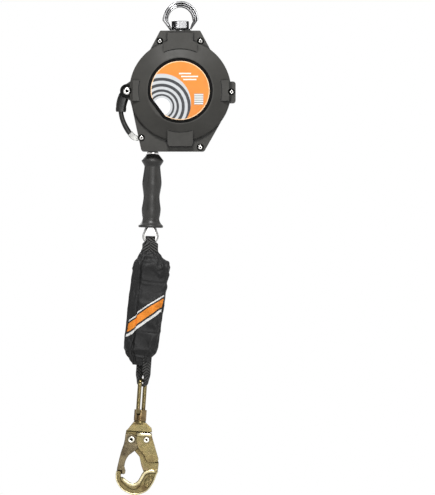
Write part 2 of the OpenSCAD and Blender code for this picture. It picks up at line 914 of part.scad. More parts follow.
module cable_drum() {
    half = drum_w / 2;
    color("lightgray") hung() difference() {
        union() {
            slab(-half, half) circle(r = hub_r);
            for (y = [-half, half - flange_t]) slab(y, y + flange_t) difference() {
                circle(r = flange_r, $fn = 128);
                for (a = [0:45:315]) rotate(a) translate([(flange_r + wound_r) / 2, 0]) circle(r = 7);
            }
        }
        slab(-half - 1, half + 1) circle(r = shaft_r);
    }
}

// The turns of cable on the drum, ridged as the outer layer lies
module wound_cable() {
    half = drum_w / 2 - flange_t;
    turns = floor(2 * half / rope_d);
    color("silver") hung() rotate([90, 0, 0]) rotate_extrude() {
        translate([hub_r, -half]) square([payout_r - hub_r, 2 * half]);
        for (i = [0:turns - 1]) translate([payout_r, (i - (turns - 1) / 2) * rope_d])
            circle(r = rope_r - 0.05, $fn = 24);
    }
}

pawl_spots = [0, 180];
// The pawl's pivot stands behind its tip by this angle when it is engaged
pawl_tip_r = tooth_root_r - 1.7;
pawl_lead = acos((pow(pawl_pivot_r, 2) + pow(pawl_tip_r, 2) - pow(pawl_l, 2))
    / (2 * pawl_pivot_r * pawl_tip_r));
pawl_arm = acos((pow(pawl_tip_r, 2) - pow(pawl_pivot_r, 2) - pow(pawl_l, 2))
    / (2 * pawl_pivot_r * pawl_l));
pawl_stand = 360 / teeth - 0.4 - pawl_lead;

module pawl_carrier() {
    color(plate_grey) hung() slab(-carrier_front, -carrier_back) difference() {
        circle(r = carrier_r);
        circle(r = shaft_r);
        for (a = pawl_spots) rotate(a + pawl_stand) translate([pawl_pivot_r, 0])
            circle(r = pawl_pin_r);
        for (a = pawl_spots) rotate(a + pawl_stand + 90) translate([24, 0]) circle(r = 8);
    }
}

module pawl_pins() {
    head = pawl_front + pawl_spring_gap;
    color(bolt_silver) hung() for (a = pawl_spots) {
        p = polar(pawl_pivot_r, a + pawl_stand);
        slab(-head, -carrier_back) translate(p) circle(r = pawl_pin_r);
        slab(-head - pawl_pin_head, -head) translate(p) circle(r = pawl_pin_head_r);
    }
}

// Torsion springs that hold the pawls in, on the pins between pawl and pin head
module pawl_springs() {
    wire = 0.45;
    color("dimgray") hung() for (a = pawl_spots) {
        p = polar(pawl_pivot_r, a + pawl_stand);
        for (k = [1, 2]) translate([p[0], -pawl_front - 0.7 * k, p[1]]) rotate([90, 0, 0])
            rotate_extrude() translate([pawl_pin_r + 0.7, 0]) circle(r = wire * 0.7, $fn = 16);
    }
}

// A pawl at rest, held in towards the shaft
module pawl(at) {
    p = polar(pawl_pivot_r, at + pawl_stand);
    slab(-pawl_front, -pawl_back) translate(p) rotate(at + pawl_stand + pawl_arm + pawl_travel)
        difference() {
            union() {
                circle(r = pawl_boss_r);
                polygon([[0, pawl_boss_r - 0.1], [-9, 5], [-9, -5], [0, 0.1 - pawl_boss_r], [12, -4.6],
                    [20, -2.6], [pawl_l, 0], [pawl_l - 7.2, 3.45]]);
            }
            circle(r = pawl_pin_r + 0.05);
        }
}

module pawl_a() {
    color("firebrick") hung() pawl(pawl_spots[0]);
}

module pawl_b() {
    color("firebrick") hung() pawl(pawl_spots[1]);
}

// ---- Lifeline end ----

// The cable from the drum down to the ferrule
module cable_run() {
    color("silver") on_line() translate([0, 0, ferrule_top])
        cylinder(h = run_start - ferrule_top, r = rope_r);
}

module cable_ferrule() {
    color("gray") on_line() translate([0, 0, ferrule_end])
        cylinder(h = ferrule_top - ferrule_end, r = ferrule_r);
}

leg_top = [rope_r + 0.3, ferrule_end - eye_centre - 1.2];
leg_touch = touch(leg_top, [0, 0], eye_mid_r, -1);

// The teardrop drawing of the cable eye: a bow of radius r and legs that draw in
module teardrop(r) {
    top = [leg_top[0] + r - eye_mid_r + 0.4, grip_end + 4 - eye_centre];
    low = touch([max(top[0], 1), top[1]], [0, 0], r, -1);
    start = atan2(low[1], low[0]);
    polygon(concat([[max(top[0], 1), top[1]]],
        [for (i = [0:24]) polar(r, start - (180 + 2 * start) * i / 24)],
        [[-max(top[0], 1), top[1]]]));
}

// Channelled eye that carries the cable round the webbing
module cable_thimble() {
    color("silver") on_line() translate([0, 0, eye_centre]) difference() {
        slab(-thimble_half, thimble_half) teardrop(cable_eye_r - 0.8);
        slab(-thimble_half - 1, thimble_half + 1) teardrop(thimble_in_r);
        slab(-rope_r - 0.5, rope_r + 0.5) difference() {
            teardrop(cable_eye_r + 6);
            teardrop(thimble_in_r + 1);
        }
    }
}

// The cable's own loop, which lies in the thimble
module cable_eye() {
    start = atan2(leg_touch[1], leg_touch[0]);
    leg = norm(leg_top - leg_touch);
    color("silver") on_line() translate([0, 0, eye_centre]) rotate([90, 0, 0]) {
        rotate([0, 0, 180 - start]) rotate_extrude(angle = 180 + 2 * start)
            translate([eye_mid_r, 0]) circle(r = rope_r);
        rotate([0, 0, start]) translate([eye_mid_r, 0, 0]) rotate([-90, 0, 0])
            cylinder(h = leg, r = rope_r);
        rotate([0, 0, 180 - start]) translate([eye_mid_r, 0, 0]) rotate([90, 0, 0])
            cylinder(h = leg, r = rope_r);
    }
}

// Profile of the grip as [radius, share of its length from the top]
grip_profile = [[10.5, 0], [grip_top_r, 0.09], [14.7, 0.17], [17.9, 0.39], [14.9, 0.57],
    [17.6, 0.745], [15.4, 0.89], [grip_low_r, 0.975], [grip_low_r - 1, 1]];

module hand_grip() {
    bore = rope_r + 0.6;
    color(rubber_black) on_line() difference() {
        rotate_extrude() polygon(concat([[0, grip_top]],
            run_of([for (p = grip_profile) [p[0], grip_top - grip_l * p[1]]], 3), [[0, grip_end]]));
        translate([0, 0, grip_end - 1]) cylinder(h = grip_l + 2, r = bore);
        translate([0, 0, grip_end - 1]) cylinder(h = ferrule_top - grip_end + 1, r = ferrule_r);
        translate([0, 0, grip_end - 1]) cylinder(h = 16, r1 = 14.6, r2 = 9);
    }
}

// ---- Shock pack ----

// Extrudes a side-view drawing of [depth, height] by a width along X
module side_slab(w) {
    translate([-w / 2, 0, 0]) rotate([90, 0, 90]) linear_extrude(w) children();
}

// A webbing loop of width w around a bar: a bight of inner radius r, and two legs
module web_loop(w, r, leg_end, leg_in) {
    leg_out = leg_in + web_t;
    start = r + web_t - gap;
    difference() {
        union() {
            side_slab(w) circle(r = r + web_t);
            side_slab(w) polygon([[-start, 0], [-leg_out, leg_end], [leg_out, leg_end], [start, 0]]);
        }
        side_slab(w + 1) circle(r = r);
        side_slab(w + 1) polygon([[0.05 - r, 0], [-leg_in, leg_end * 1.01],
            [leg_in, leg_end * 1.01], [r - 0.05, 0]]);
    }
}

// Webbing over the thimble, narrow in the eye and full width below it
module upper_web_loop() {
    drop = neck_drop - bow_centre;
    color(web_black) on_line() translate([0, 0, bow_centre]) intersection() {
        web_loop(60, web_bight_r, drop - web_w / 2, 1);
        slab(-20, 20) {
            polygon([[-6.3, 20], [-6.3, -5.5], [-web_w / 2 + 0.2, drop], [web_w / 2 - 0.2, drop],
                [6.3, -5.5], [6.3, 20]]);
            intersection() {
                translate([0, drop]) circle(r = web_w / 2);
                translate([-web_w, drop - web_w]) square([2 * web_w, web_w + 0.2]);
            }
        }
    }
}

// Front view of the pack, drawn in by d
module pack_drawing(d = 0) {
    w = pack_w / 2 - d;
    h = pack_hem_w / 2 - d;
    translate([pack_shift, 0]) polygon(smooth([[-web_w / 2 - pack_shift + d, -1 - d],
        [-w * 0.72, -18 - d], [-w, -34 - d], [-w, -pack_l * 0.45], [-h, -pack_l * 0.8],
        [-h * 0.86, -pack_l * 0.91], [-h * 0.42, -pack_l + d], [h * 0.5, -pack_l + d],
        [h * 0.9, -pack_l * 0.91], [h, -pack_l * 0.8], [w, -pack_l * 0.45], [w, -25 - d],
        [w * 0.72, -12 - d], [web_w / 2 - pack_shift - d, -1 - d]], 3));
}

// Side view of the pack, drawn in by d
module pack_side(d = 0) {
    t = pack_t / 2 - d;
    polygon(smooth([[0, 8 - d], [-t * 0.48, -1 - d], [-t * 0.8, -24], [-t, -pack_l * 0.3],
        [-t, -pack_l * 0.75], [-t * 0.85, -pack_l * 0.92], [-t * 0.8, -pack_l + d],
        [t * 0.8, -pack_l + d], [t * 0.85, -pack_l * 0.92], [t, -pack_l * 0.75],
        [t, -pack_l * 0.3], [t * 0.8, -24], [t * 0.48, -1 - d]], 3));
}

module pack_cover() {
    color(web_black) difference() {
        pack_frame() difference() {
            intersection() {
                slab(-pack_t, pack_t) pack_drawing();
                side_slab(200) pack_side();
            }
            tear_block(gap);
            slab(-web_t - web_socket, web_t + web_socket) circle(r = web_w / 2 + gap);
        }
        link_frame() rotate([0, 0, link_turn]) translate([-strap_half - gap, -leg_spread - gap, 0])
            cube([2 * strap_half + 2 * gap, 2 * leg_spread + 2 * gap, leg_rise + gap]);
    }
}

// The folded webbing's block, grown by d
module tear_block(d) {
    x = tear_half_w + d;
    y = tear_half_t + d;
    translate([pack_shift - x, -y, tear_low - d])
        cube([2 * x, 2 * y, tear_top - tear_low + 2 * d]);
}

// Folded energy-absorbing webbing inside the cover
module tear_webbing() {
    color(web_black) pack_frame() tear_block(0);
}

// Webbing from the pack down through the link's top bar
module lower_web_loop() {
    color(web_black) link_frame() rotate([0, 0, link_turn])
        web_loop(2 * strap_half, link_r + 1.45, leg_rise, leg_spread - web_t);
}

// ---- Snap hook ----

// A quarter bend of the link's rod in one corner
module link_bend(x, z, a) {
    translate([x, 0, z]) rotate([90, 0, 0]) rotate([0, 0, a]) rotate_extrude(angle = 90)
        translate([link_corner, 0]) circle(r = link_r, $fn = 24);
}

module swivel_link() {
    half = link_w / 2 - link_r;
    x = half - link_corner;
    color(zinc_gold) link_frame() rotate([0, 0, link_turn]) {
        for (z = [0, -link_l]) rod([-x, 0, z], [x, 0, z], link_r);
        for (s = [-1, 1]) rod([s * half, 0, -link_corner], [s * half, 0, link_corner - link_l], link_r);
        link_bend(x, -link_corner, 0);
        link_bend(-x, -link_corner, 90);
        link_bend(-x, link_corner - link_l, 180);
        link_bend(x, link_corner - link_l, 270);
    }
}

// Stem and barrel that join the link to the hook and let it turn
module swivel_barrel() {
    color(zinc_gold) hook_frame() difference() {
        union() {
            translate([0, 0, barrel_foot]) cylinder(h = barrel_h + 1.6, r = barrel_r);
            translate([0, 0, -stem_l]) cylinder(h = stem_l + barrel_foot + 1, r = stem_r);
            translate([0, 0, -stem_l - stem_head_t]) cylinder(h = stem_head_t, r = stem_head_r);
        }
        rotate([0, 0, link_turn]) translate([-40, -link_r - 0.2, bar_lift - link_r - 0.3])
            cube([80, link_d + 0.4, 20]);
    }
}

// Edge of the hook down the spine, round the bow to the nose, and back up the throat
spine = [[20.8, -15.5], [20.3, -24], [25.6, -40], [29.2, -55], [32.4, -69], [33.4, -72.4],
    [37, -72.5], [38, -71.3]];
bow = [[40.3, -71.6], [39.6, -85.5], [37.2, -93], [32, -110.5], [20, -127], [-1, -134.2],
    [-23, -127], [-35, -112.5], [-37.4, -100.5], [-36.6, -91.4]];
nose = [[-28.5, -94], [-27.6, -103]];
bowl = [[-18.6, -109.2], [-5, -114.4], [5.4, -109.8], [9.5, -101]];
throat = [[13, -90], [8.6, -80.1], [3.9, -63.5], [-4, -55.3], [-6.3, -52.6], [-3.5, -49.2],
    [7.8, -40], [7.8, -15.5]];
hook_edge = concat(spine, run_of(bow), nose, run_of(bowl), throat);

// Raised rib along the bowl and across to the back of the bow
rib_low = [[37.2, -92.3], [31.5, -91.6], [25.8, -92.4], [17.7, -96.3], [11.4, -105.9], [8.4, -116.8],
    [-1, -124.1], [-13.7, -120.9], [-26.8, -110.2]];
rib_edge = concat([[14.3, -88.7], [25.3, -85.4], [38.8, -85.8]], run_of(rib_low), [nose[1]],
    run_of(bowl));

module hook_body() {
    color(zinc_gold) hook_frame() difference() {
        union() {
            slab(-forging_half, forging_half) {
                polygon(hook_edge);
                polygon([[-7.8, -15.5], [-24, -15.5], [-24.6, -24], [-22.5, -35], [-17, -41],
                    [-10, -41], [-7.8, -36]]);
            }
            slab(-hook_t / 2, hook_t / 2) polygon(rib_edge);
            slab(-shoulder_half, shoulder_half) polygon([[-11.6, 0], [-20.6, -13], [-24.3, -17],
                [24, -17], [22.5, -9], [11.6, 0]]);
            slab(-forging_half, forging_half) polygon([[-9, -16], [-9, -26], [9, -26], [9, -16]]);
            translate([0, 0, -2.4]) cylinder(h = barrel_foot + 2.2, r = barrel_r - 0.4);
        }
        translate([0, 0, -stem_l - 10]) cylinder(h = stem_l + 20, r = stem_r + run_fit);
        translate([0, 0, -stem_l - stem_head_t - 3])
            cylinder(h = stem_head_t + 3, r = stem_head_r + gap);
        for (p = [gate_pivot, lock_pivot]) {
            slab(-shoulder_half, shoulder_half) translate(p) circle(r = rivet_r);
            for (side = [-1, 1]) slab(side * 7 - 4, side * 7 + 4) translate(p) circle(r = coil_well_r);
        }
    }
}

module hook_rivets() {
    color("white") hook_frame() for (p = [gate_pivot, lock_pivot]) {
        slab(-lever_out - 0.2, lever_out + 0.2) translate(p) circle(r = rivet_r);
        for (side = [-1, 1]) {
            y = side * (lever_out + 0.9);
            slab(y - 0.7, y + 0.7) difference() {
                translate(p) circle(r = rivet_head_r);
                translate([p[0], p[1]]) circle(r = side < 0 ? 2 : 0.5);
            }
        }
    }
}

// Closed coils on a rivet, in the recesses of the forging
module coils(p) {
    color("dimgray") hook_frame() for (side = [-1, 1], k = [0, 1]) {
        translate([p[0], side * (3.6 + 1.1 * k), p[1]]) rotate([90, 0, 0]) rotate_extrude()
            translate([rivet_r + 1.2, 0]) circle(r = 0.5, $fn = 16);
    }
}

module gate_spring() {
    coils(gate_pivot);
}

module lock_spring() {
    coils(lock_pivot);
}

gate_bar = [[-30.6, -56], [-16, -50], [-16, -62.1], [-19.6, -68.1], [-22, -75.5], [-22.8, -83.3],
    [-20, -91], [-20.6, -96], [-23.4, -98], [-26, -96.5], [-26.6, -90.8], [-36.5, -90.8],
    [-35.4, -83], [-33.2, -70]];
gate_cheek = [[-24.8, -22], [-25.4, -33], [-26.6, -41.3], [-30.8, -57], [-20, -66], [-16, -62.1],
    [-6.7, -54.1], [-1.5, -49.5], [0.5, -44], [-1, -34], [-3.4, -26.5], [-12, -23]];

// Gate: two cheeks on the rivet and a solid bar that closes on the nose
module gate() {
    color(zinc_gold) hook_frame() difference() {
        union() {
            slab(-gate_out, gate_out) polygon(gate_bar);
            for (side = [-1, 1]) {
                y = side * (gate_in + gate_out) / 2;
                slab(y - cheek_t / 2, y + cheek_t / 2) polygon(gate_cheek);
            }
        }
        slab(-20, 20) translate(gate_pivot) circle(r = rivet_r + 0.06);
    }
}

lever_cheek = [[-3.8, -19.2], [-3.9, -35], [1, -47.8], [13.6, -61], [19.8, -73], [38.6, -70],
    [39.2, -65], [24.6, -25], [23.8, -19.2]];

// Lock lever: a folded sheet over the spine
module lock_lever() {
    color(zinc_gold) hook_frame() difference() {
        slab(-lever_out, lever_out) polygon(lever_cheek);
        slab(-lever_in, lever_in) polygon([[-60, 0], [22.3, 0], [22.3, -25.3], [37.4, -71.5], [36, -90],
            [-60, -90]]);
        slab(-20, 20) translate(lock_pivot) circle(r = rivet_r + 0.06);
    }
}

front_cover();
rear_cover();
front_label();
front_frame_plate();
rear_frame_plate();
frame_spacers();
cover_screws();
cover_nuts();
top_bracket();
thrust_washer();
front_bearing();
rear_bearing();
inner_brake_lining();
outer_brake_lining();
brake_pressure_plate();
brake_clamp_screws();
ratchet_ring();
spring_case();
spring_case_lid();
spring_case_screws();
power_spring();
outlet_nozzle();
outlet_collar();
handle_boot();
handle_grip();
handle_strap();
handle_end_fitting();
handle_bolt();
handle_nut();
anchor_eye();
swivel_bolt();
swivel_nut();
main_shaft();
shaft_circlips();
cable_drum();
wound_cable();
pawl_carrier();
pawl_pins();
pawl_springs();
pawl_a();
pawl_b();
cable_run();
cable_ferrule();
cable_thimble();
cable_eye();
hand_grip();
upper_web_loop();
pack_cover();
tear_webbing();
lower_web_loop();
swivel_link();
swivel_barrel();
hook_body();
hook_rivets();
gate_spring();
lock_spring();
gate();
lock_lever();
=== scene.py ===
"""Looks for the self retracting lifeline: materials, detailed pieces, light and camera."""

import json
from math import acos, asin, atan2, cos, degrees, exp, hypot, pi, radians, sin

import bpy
from mathutils import Matrix, Vector, noise


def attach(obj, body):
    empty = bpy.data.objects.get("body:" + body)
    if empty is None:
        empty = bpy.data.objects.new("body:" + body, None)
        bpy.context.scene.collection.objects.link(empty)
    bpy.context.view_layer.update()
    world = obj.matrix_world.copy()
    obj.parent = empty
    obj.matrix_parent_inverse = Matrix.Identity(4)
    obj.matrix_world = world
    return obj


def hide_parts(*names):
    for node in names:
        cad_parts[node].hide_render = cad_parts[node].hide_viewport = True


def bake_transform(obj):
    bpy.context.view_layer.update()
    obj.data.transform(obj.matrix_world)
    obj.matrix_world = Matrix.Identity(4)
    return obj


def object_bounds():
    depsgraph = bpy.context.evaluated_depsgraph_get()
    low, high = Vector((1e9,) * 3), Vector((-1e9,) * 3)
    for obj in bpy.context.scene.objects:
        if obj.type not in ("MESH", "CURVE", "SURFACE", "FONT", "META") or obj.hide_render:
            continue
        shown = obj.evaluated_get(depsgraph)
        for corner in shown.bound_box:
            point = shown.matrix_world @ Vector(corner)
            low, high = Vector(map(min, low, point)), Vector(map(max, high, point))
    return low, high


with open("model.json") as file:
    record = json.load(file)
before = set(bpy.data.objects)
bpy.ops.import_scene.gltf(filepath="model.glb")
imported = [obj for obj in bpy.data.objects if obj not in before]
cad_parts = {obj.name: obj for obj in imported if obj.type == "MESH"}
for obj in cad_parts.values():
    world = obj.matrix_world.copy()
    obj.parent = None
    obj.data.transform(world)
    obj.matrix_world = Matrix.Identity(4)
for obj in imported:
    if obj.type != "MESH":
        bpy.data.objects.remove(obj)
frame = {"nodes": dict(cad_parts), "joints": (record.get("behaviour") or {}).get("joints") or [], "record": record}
cad_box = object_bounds()

# ---- places, from the frame
MM = 0.001
JOINTS = {j["name"]: j for j in frame["joints"]}
LINE_LEAN = degrees(atan2(-JOINTS["lifeline_pull"]["axis"][0], -JOINTS["lifeline_pull"]["axis"][2]))
HOOK_LEAN = degrees(atan2(JOINTS["hook_swivel"]["axis"][0], JOINTS["hook_swivel"]["axis"][2]))
PACK_LEAN = 7.1  # degrees, as the other leans and turns
EYE_TURN = 12.0
LINK_TURN = degrees(asin(JOINTS["link_swing"]["axis"][1]))


def place(joint):
    return Vector(JOINTS[joint]["pos_m"])


def local_frame(origin, lean=0.0, turn=0.0):
    """Matrix from a local frame in millimetres to the row frame: a turn about Z, then a lean about Y."""
    return (
        Matrix.Translation(origin)
        @ Matrix.Rotation(radians(lean), 4, "Y")
        @ Matrix.Rotation(radians(turn), 4, "Z")
        @ Matrix.Scale(MM, 4)
    )


DRUM = local_frame(place("drum_spin"))
LINE = local_frame(place("neck_swing"), LINE_LEAN)
PACK = local_frame(place("pack_sway"), PACK_LEAN)
LINK = local_frame(place("link_swing"), HOOK_LEAN, LINK_TURN)
HOOK = local_frame(place("hook_swivel"), HOOK_LEAN)
EYE = local_frame(Vector((0, 0, 0)), 0.0, EYE_TURN)


# ---- material building
class Nodes:
    """Short ways to add nodes to a tree; all but node() return sockets."""

    def __init__(self, tree):
        self.tree = tree

    def node(self, kind, *inputs, **settings):
        made = self.tree.nodes.new(kind)
        for key, value in settings.items():
            setattr(made, key, value)
        for i, value in enumerate(inputs):
            if isinstance(value, bpy.types.NodeSocket):
                self.tree.links.new(value, made.inputs[i])
            else:
                made.inputs[i].default_value = value
        return made

    def axes(self, vector):
        return self.node("ShaderNodeSeparateXYZ", vector).outputs

    def noise(self, vector, scale, detail=3.0, roughness=0.5):
        made = self.node("ShaderNodeTexNoise")
        self.tree.links.new(vector, made.inputs["Vector"])
        made.inputs["Scale"].default_value = scale
        made.inputs["Detail"].default_value = detail
        made.inputs["Roughness"].default_value = roughness
        return made.outputs[0]

    def math(self, operation, *values):
        return self.node("ShaderNodeMath", *values, operation=operation).outputs[0]

    def times(self, a, b):
        return self.math("MULTIPLY", a, b)

    def spread(self, value, low, high, to_low=0.0, to_high=1.0):
        return self.node("ShaderNodeMapRange", value, low, high, to_low, to_high).outputs[0]

    def between(self, value, low, high, soft=0.0003):
        """1 where low < value < high, with soft edges."""
        rise = self.spread(value, low - soft, low + soft)
        fall = self.spread(value, high - soft, high + soft, 1.0, 0.0)
        return self.times(rise, fall)

    def eye_rays(self):
        """1 for camera rays; then 1 for glossy and transmission rays too, as metal sees the backdrop."""
        path = self.node("ShaderNodeLightPath").outputs
        seen = path["Is Camera Ray"]
        for ray in ("Is Glossy Ray", "Is Transmission Ray"):
            seen = self.math("MAXIMUM", seen, path[ray])
        return path["Is Camera Ray"], seen


class Shader(Nodes):
    """One node material on a Principled shader."""

    def __init__(self, name, **sockets):
        self.material = bpy.data.materials.new(name)
        self.material.use_nodes = True
        super().__init__(self.material.node_tree)
        self.shader = self.tree.nodes["Principled BSDF"]
        for socket, value in sockets.items():
            self.set(socket.replace("_", " "), value)

    def set(self, socket, value):
        target = self.shader.inputs[socket]
        if isinstance(value, bpy.types.NodeSocket):
            self.tree.links.new(value, target)
        else:
            target.default_value = (*value, 1.0) if isinstance(value, tuple) and len(value) == 3 else value

    def position(self):
        return self.node("ShaderNodeTexCoord").outputs["Object"]

    def uv(self):
        return self.node("ShaderNodeUVMap", uv_map="flat").outputs[0]

    def scaled(self, vector, x, y, z):
        return self.node("ShaderNodeVectorMath", vector, (x, y, z), operation="MULTIPLY").outputs[0]

    def cells(self, vector, scale):
        made = self.node("ShaderNodeTexVoronoi")
        self.tree.links.new(vector, made.inputs["Vector"])
        made.inputs["Scale"].default_value = scale
        return made.outputs["Distance"]

    def mix(self, factor, a, b):
        made = self.node("ShaderNodeMix", data_type="RGBA")
        for socket, value in ((made.inputs[0], factor), (made.inputs[6], a), (made.inputs[7], b)):
            if isinstance(value, bpy.types.NodeSocket):
                self.tree.links.new(value, socket)
            else:
                socket.default_value = (*value, 1.0) if isinstance(value, tuple) else value
        return made.outputs[2]

    def ramp(self, value, *stops):
        made = self.node("ShaderNodeValToRGB", value)
        band = made.color_ramp.elements
        while len(band) < len(stops):
            band.new(0.5)
        for element, (at, colour) in zip(band, stops):
            element.position = at
            element.color = (*colour, 1.0)
        return made.outputs[0]

    def crevice(self, reach):
        """Ambient occlusion: 1 on open surfaces, towards 0 in corners narrower than reach; the materials use it to
        paint shade into corners.
        """
        made = self.node("ShaderNodeAmbientOcclusion", samples=8)
        made.inputs["Distance"].default_value = reach
        return made.outputs["AO"]

    def bump(self, height, strength, distance, under=None):
        made = self.node("ShaderNodeBump")
        made.inputs["Strength"].default_value = strength
        made.inputs["Distance"].default_value = distance
        self.tree.links.new(height, made.inputs["Height"])
        if under is not None:
            self.tree.links.new(under, made.inputs["Normal"])
        return made.outputs[0]

    def varied(self, socket, clouds, low, high):
        """A socket's value, wandering between low and high with a noise."""
        self.set(socket, self.spread(clouds, 0.3, 0.7, low, high))


def moulded_plastic():
    """Warm dark grey moulding with a fine spark-eroded grain, and painted shade darkening its corners and seams.
    """
    s = Shader("moulded_plastic", Specular_IOR_Level=0.24)
    p = s.position()
    grain = s.noise(p, 1500, 2)
    field = s.mix(s.spread(s.noise(p, 22, 4), 0.3, 0.7), (0.036, 0.0349, 0.0318), (0.048, 0.0466, 0.0426))
    # Painted shade: ambient occlusion darkens the colour to near black in corners and seams.
    s.set("Base Color", s.mix(s.spread(s.crevice(0.005), 0.55, 0.95), (0.004, 0.004, 0.004), field))
    s.varied("Roughness", s.noise(p, 60, 3), 0.50, 0.62)
    s.set("Normal", s.bump(grain, 0.35, 0.00012, s.bump(s.noise(p, 260, 2), 0.12, 0.0002)))
    return s.material


def rubber(name, base, lift, rough=0.58, gloss=0.45):
    """Black rubber of two tones with a faint bloom."""
    s = Shader(name, Specular_IOR_Level=gloss)
    p = s.position()
    s.set("Base Color", s.mix(s.spread(s.noise(p, 35, 5), 0.35, 0.75), base, lift))
    s.varied("Roughness", s.noise(p, 90, 3), rough * 0.88, rough * 1.12)
    s.set("Normal", s.bump(s.noise(p, 2200, 2), 0.30, 0.0001, s.bump(s.noise(p, 180, 3), 0.15, 0.0003)))
    return s.material


def metal(name, light, dark, rough, grain=900, depth=0.25):
    """Metal with an uneven tone, fine scratches, a varied polish and painted shade darkening its corners."""
    s = Shader(name, Metallic=1.0)
    p = s.position()
    unshaded = s.mix(s.spread(s.noise(p, 45, 5), 0.35, 0.7), light, dark)
    # Painted shade: ambient occlusion darkens the colour in corners and recesses.
    s.set("Base Color", s.mix(s.spread(s.crevice(0.003), 0.3, 0.85), tuple(0.05 * c for c in dark), unshaded))
    s.varied("Roughness", s.noise(s.scaled(p, 1, 1, 0.25), 160, 4), rough * 0.75, rough * 1.3)
    s.set("Normal", s.bump(s.noise(p, grain, 3), depth, 0.00008))
    return s.material


GOLD_TONES = ((0.30, (0.12, 0.085, 0.038)), (0.45, (0.232, 0.182, 0.080)), (0.55, (0.190, 0.158, 0.071)),
              (0.70, (0.275, 0.196, 0.108)))
GATE_TONES = ((0.30, (0.066, 0.050, 0.030)), (0.50, (0.156, 0.126, 0.074)), (0.70, (0.270, 0.212, 0.118)))
# Paler gold tones: painted highlight on the hook's bead, rims and the lever's fold.
PAINTED_HIGHLIGHT_TONES = ((0.30, (0.56, 0.47, 0.25)), (0.50, (0.72, 0.63, 0.38)), (0.70, (0.64, 0.54, 0.30)))
COPPER_TONES = ((0.30, (0.11, 0.066, 0.028)), (0.50, (0.29, 0.205, 0.100)), (0.70, (0.18, 0.130, 0.058)))


def gold_zinc(name, tones, rough=0.28, cast=0.0):
    """Yellow chromate on forged steel: clouds of several tones and painted shade in its corners; cast adds a
    coarse texture.
    """
    s = Shader(name, Metallic=0.93)
    p = s.position()
    tint = s.ramp(s.noise(p, 55, 4, 0.6), *tones)
    shade = tuple(0.45 * c for c in tones[1][1])
    unshaded = s.mix(s.spread(s.noise(p, 260, 3), 0.5, 0.8, 0.0, 0.7), tint, shade)
    # Painted shade: ambient occlusion darkens the colour to dark brown in corners and under edges.
    s.set("Base Color", s.mix(s.spread(s.crevice(0.007), 0.50, 0.97), (0.018, 0.012, 0.004), unshaded))
    s.varied("Roughness", s.noise(p, 120, 3), rough * 0.75, rough * 1.25)
    flow = s.bump(s.noise(p, 380, 3), 0.08, 0.0002)
    fine = s.bump(s.spread(s.cells(p, 700), 0.0, 0.25), 0.05, 0.0001, flow)
    s.set("Normal", s.bump(s.cells(p, 420), cast, 0.0012, fine))
    return s.material


def wire_rope():
    """Galvanised wire: bright, with single wires laid across each strand."""
    s = Shader("wire_rope", Metallic=1.0)
    p = s.position()
    u, along, _ = s.axes(s.uv())
    wires = s.math("SINE", s.math("MULTIPLY_ADD", along, 9000.0, s.times(u, 25.0)))
    dull = s.spread(s.noise(p, 300, 3), 0.35, 0.7)
    s.set("Base Color", s.mix(dull, (0.62, 0.62, 0.62), (0.36, 0.36, 0.35)))
    s.varied("Roughness", s.noise(p, 500, 2), 0.22, 0.4)
    s.set("Normal", s.bump(wires, 0.5, 0.0002))
    return s.material


HALF_STRAP = 0.0146  # metres; the ribs turn at the middle of the strap
RIB_SLANT = 380.0
RIB_PITCH = 600.0
THREADS = 5200.0


def webbing():
    """Black webbing in a broken twill, its ribs slanting one way and then the other across the width; its colour
    is painted shade in the rib valleys and painted highlight on the crests.
    """
    s = Shader("webbing", Sheen_Weight=0.05, Sheen_Roughness=0.4, Specular_IOR_Level=0.10)
    u, along, _ = s.axes(s.uv())
    column = s.times(u, 1 / HALF_STRAP)
    turn = s.math("ROUND", s.math("FRACT", s.times(column, 0.5)))
    slant = s.times(s.times(u, RIB_SLANT), s.math("MULTIPLY_ADD", turn, 2.0, -1.0))
    rib = s.math("ABSOLUTE", s.math("SINE", s.math("MULTIPLY_ADD", along, RIB_PITCH, slant)))
    thread = s.math("ABSOLUTE", s.math("SINE", s.times(u, THREADS)))
    # Painted shade and highlight: the colour follows the rib height, near black in the valleys and lighter on the
    # crests.
    s.set("Base Color", s.mix(s.spread(rib, 0.15, 0.85), (0.0008, 0.0008, 0.0010), (0.100, 0.099, 0.096)))
    s.set("Roughness", s.spread(rib, 0, 1, 0.8, 0.55))
    s.set("Normal", s.bump(s.math("MULTIPLY_ADD", thread, 0.2, rib), 1.0, 0.0012))
    return s.material


# Printed bands on the pack, in metres: across x, and by height above a line of this slope
BAND_EDGES = (-0.0262, 0.0365)
BAND_SLOPE = 0.85
ORANGE_BAND = (-0.133, -0.117)
WHITE_BANDS = ((-0.1425, -0.137), (-0.1135, -0.1105))
WEAVE = 9500.0


def nylon():
    """Coated dark nylon with a plain weave, and slanted orange and white printed bands on the front."""
    s = Shader("nylon", Sheen_Weight=0.04, Sheen_Roughness=0.35, Specular_IOR_Level=0.22)
    x, z, front = s.axes(s.node("ShaderNodeAttribute", attribute_name="print").outputs["Vector"])
    u, along, _ = s.axes(s.uv())
    across_threads = s.math("SINE", s.times(u, WEAVE))
    weave = s.times(across_threads, s.math("SINE", s.times(along, WEAVE)))
    p = s.position()
    height = s.math("MULTIPLY_ADD", x, -BAND_SLOPE, z)
    on_front = s.times(front, s.between(x, *BAND_EDGES))
    orange = s.times(on_front, s.between(height, *ORANGE_BAND))
    lines = s.math("ADD", *(s.between(height, *band) for band in WHITE_BANDS))
    white = s.times(on_front, lines)
    cloth = s.mix(s.spread(s.noise(p, 40, 4), 0.3, 0.75), (0.012, 0.012, 0.0122), (0.024, 0.024, 0.0242))
    printed = s.mix(orange, cloth, (0.95, 0.30, 0.035))
    s.set("Base Color", s.mix(white, printed, (0.86, 0.86, 0.84)))
    s.varied("Roughness", s.noise(p, 120, 3), 0.42, 0.56)
    s.set("Normal", s.bump(weave, 0.22, 0.00012, s.bump(s.noise(p, 330, 4), 0.20, 0.0006)))
    return s.material


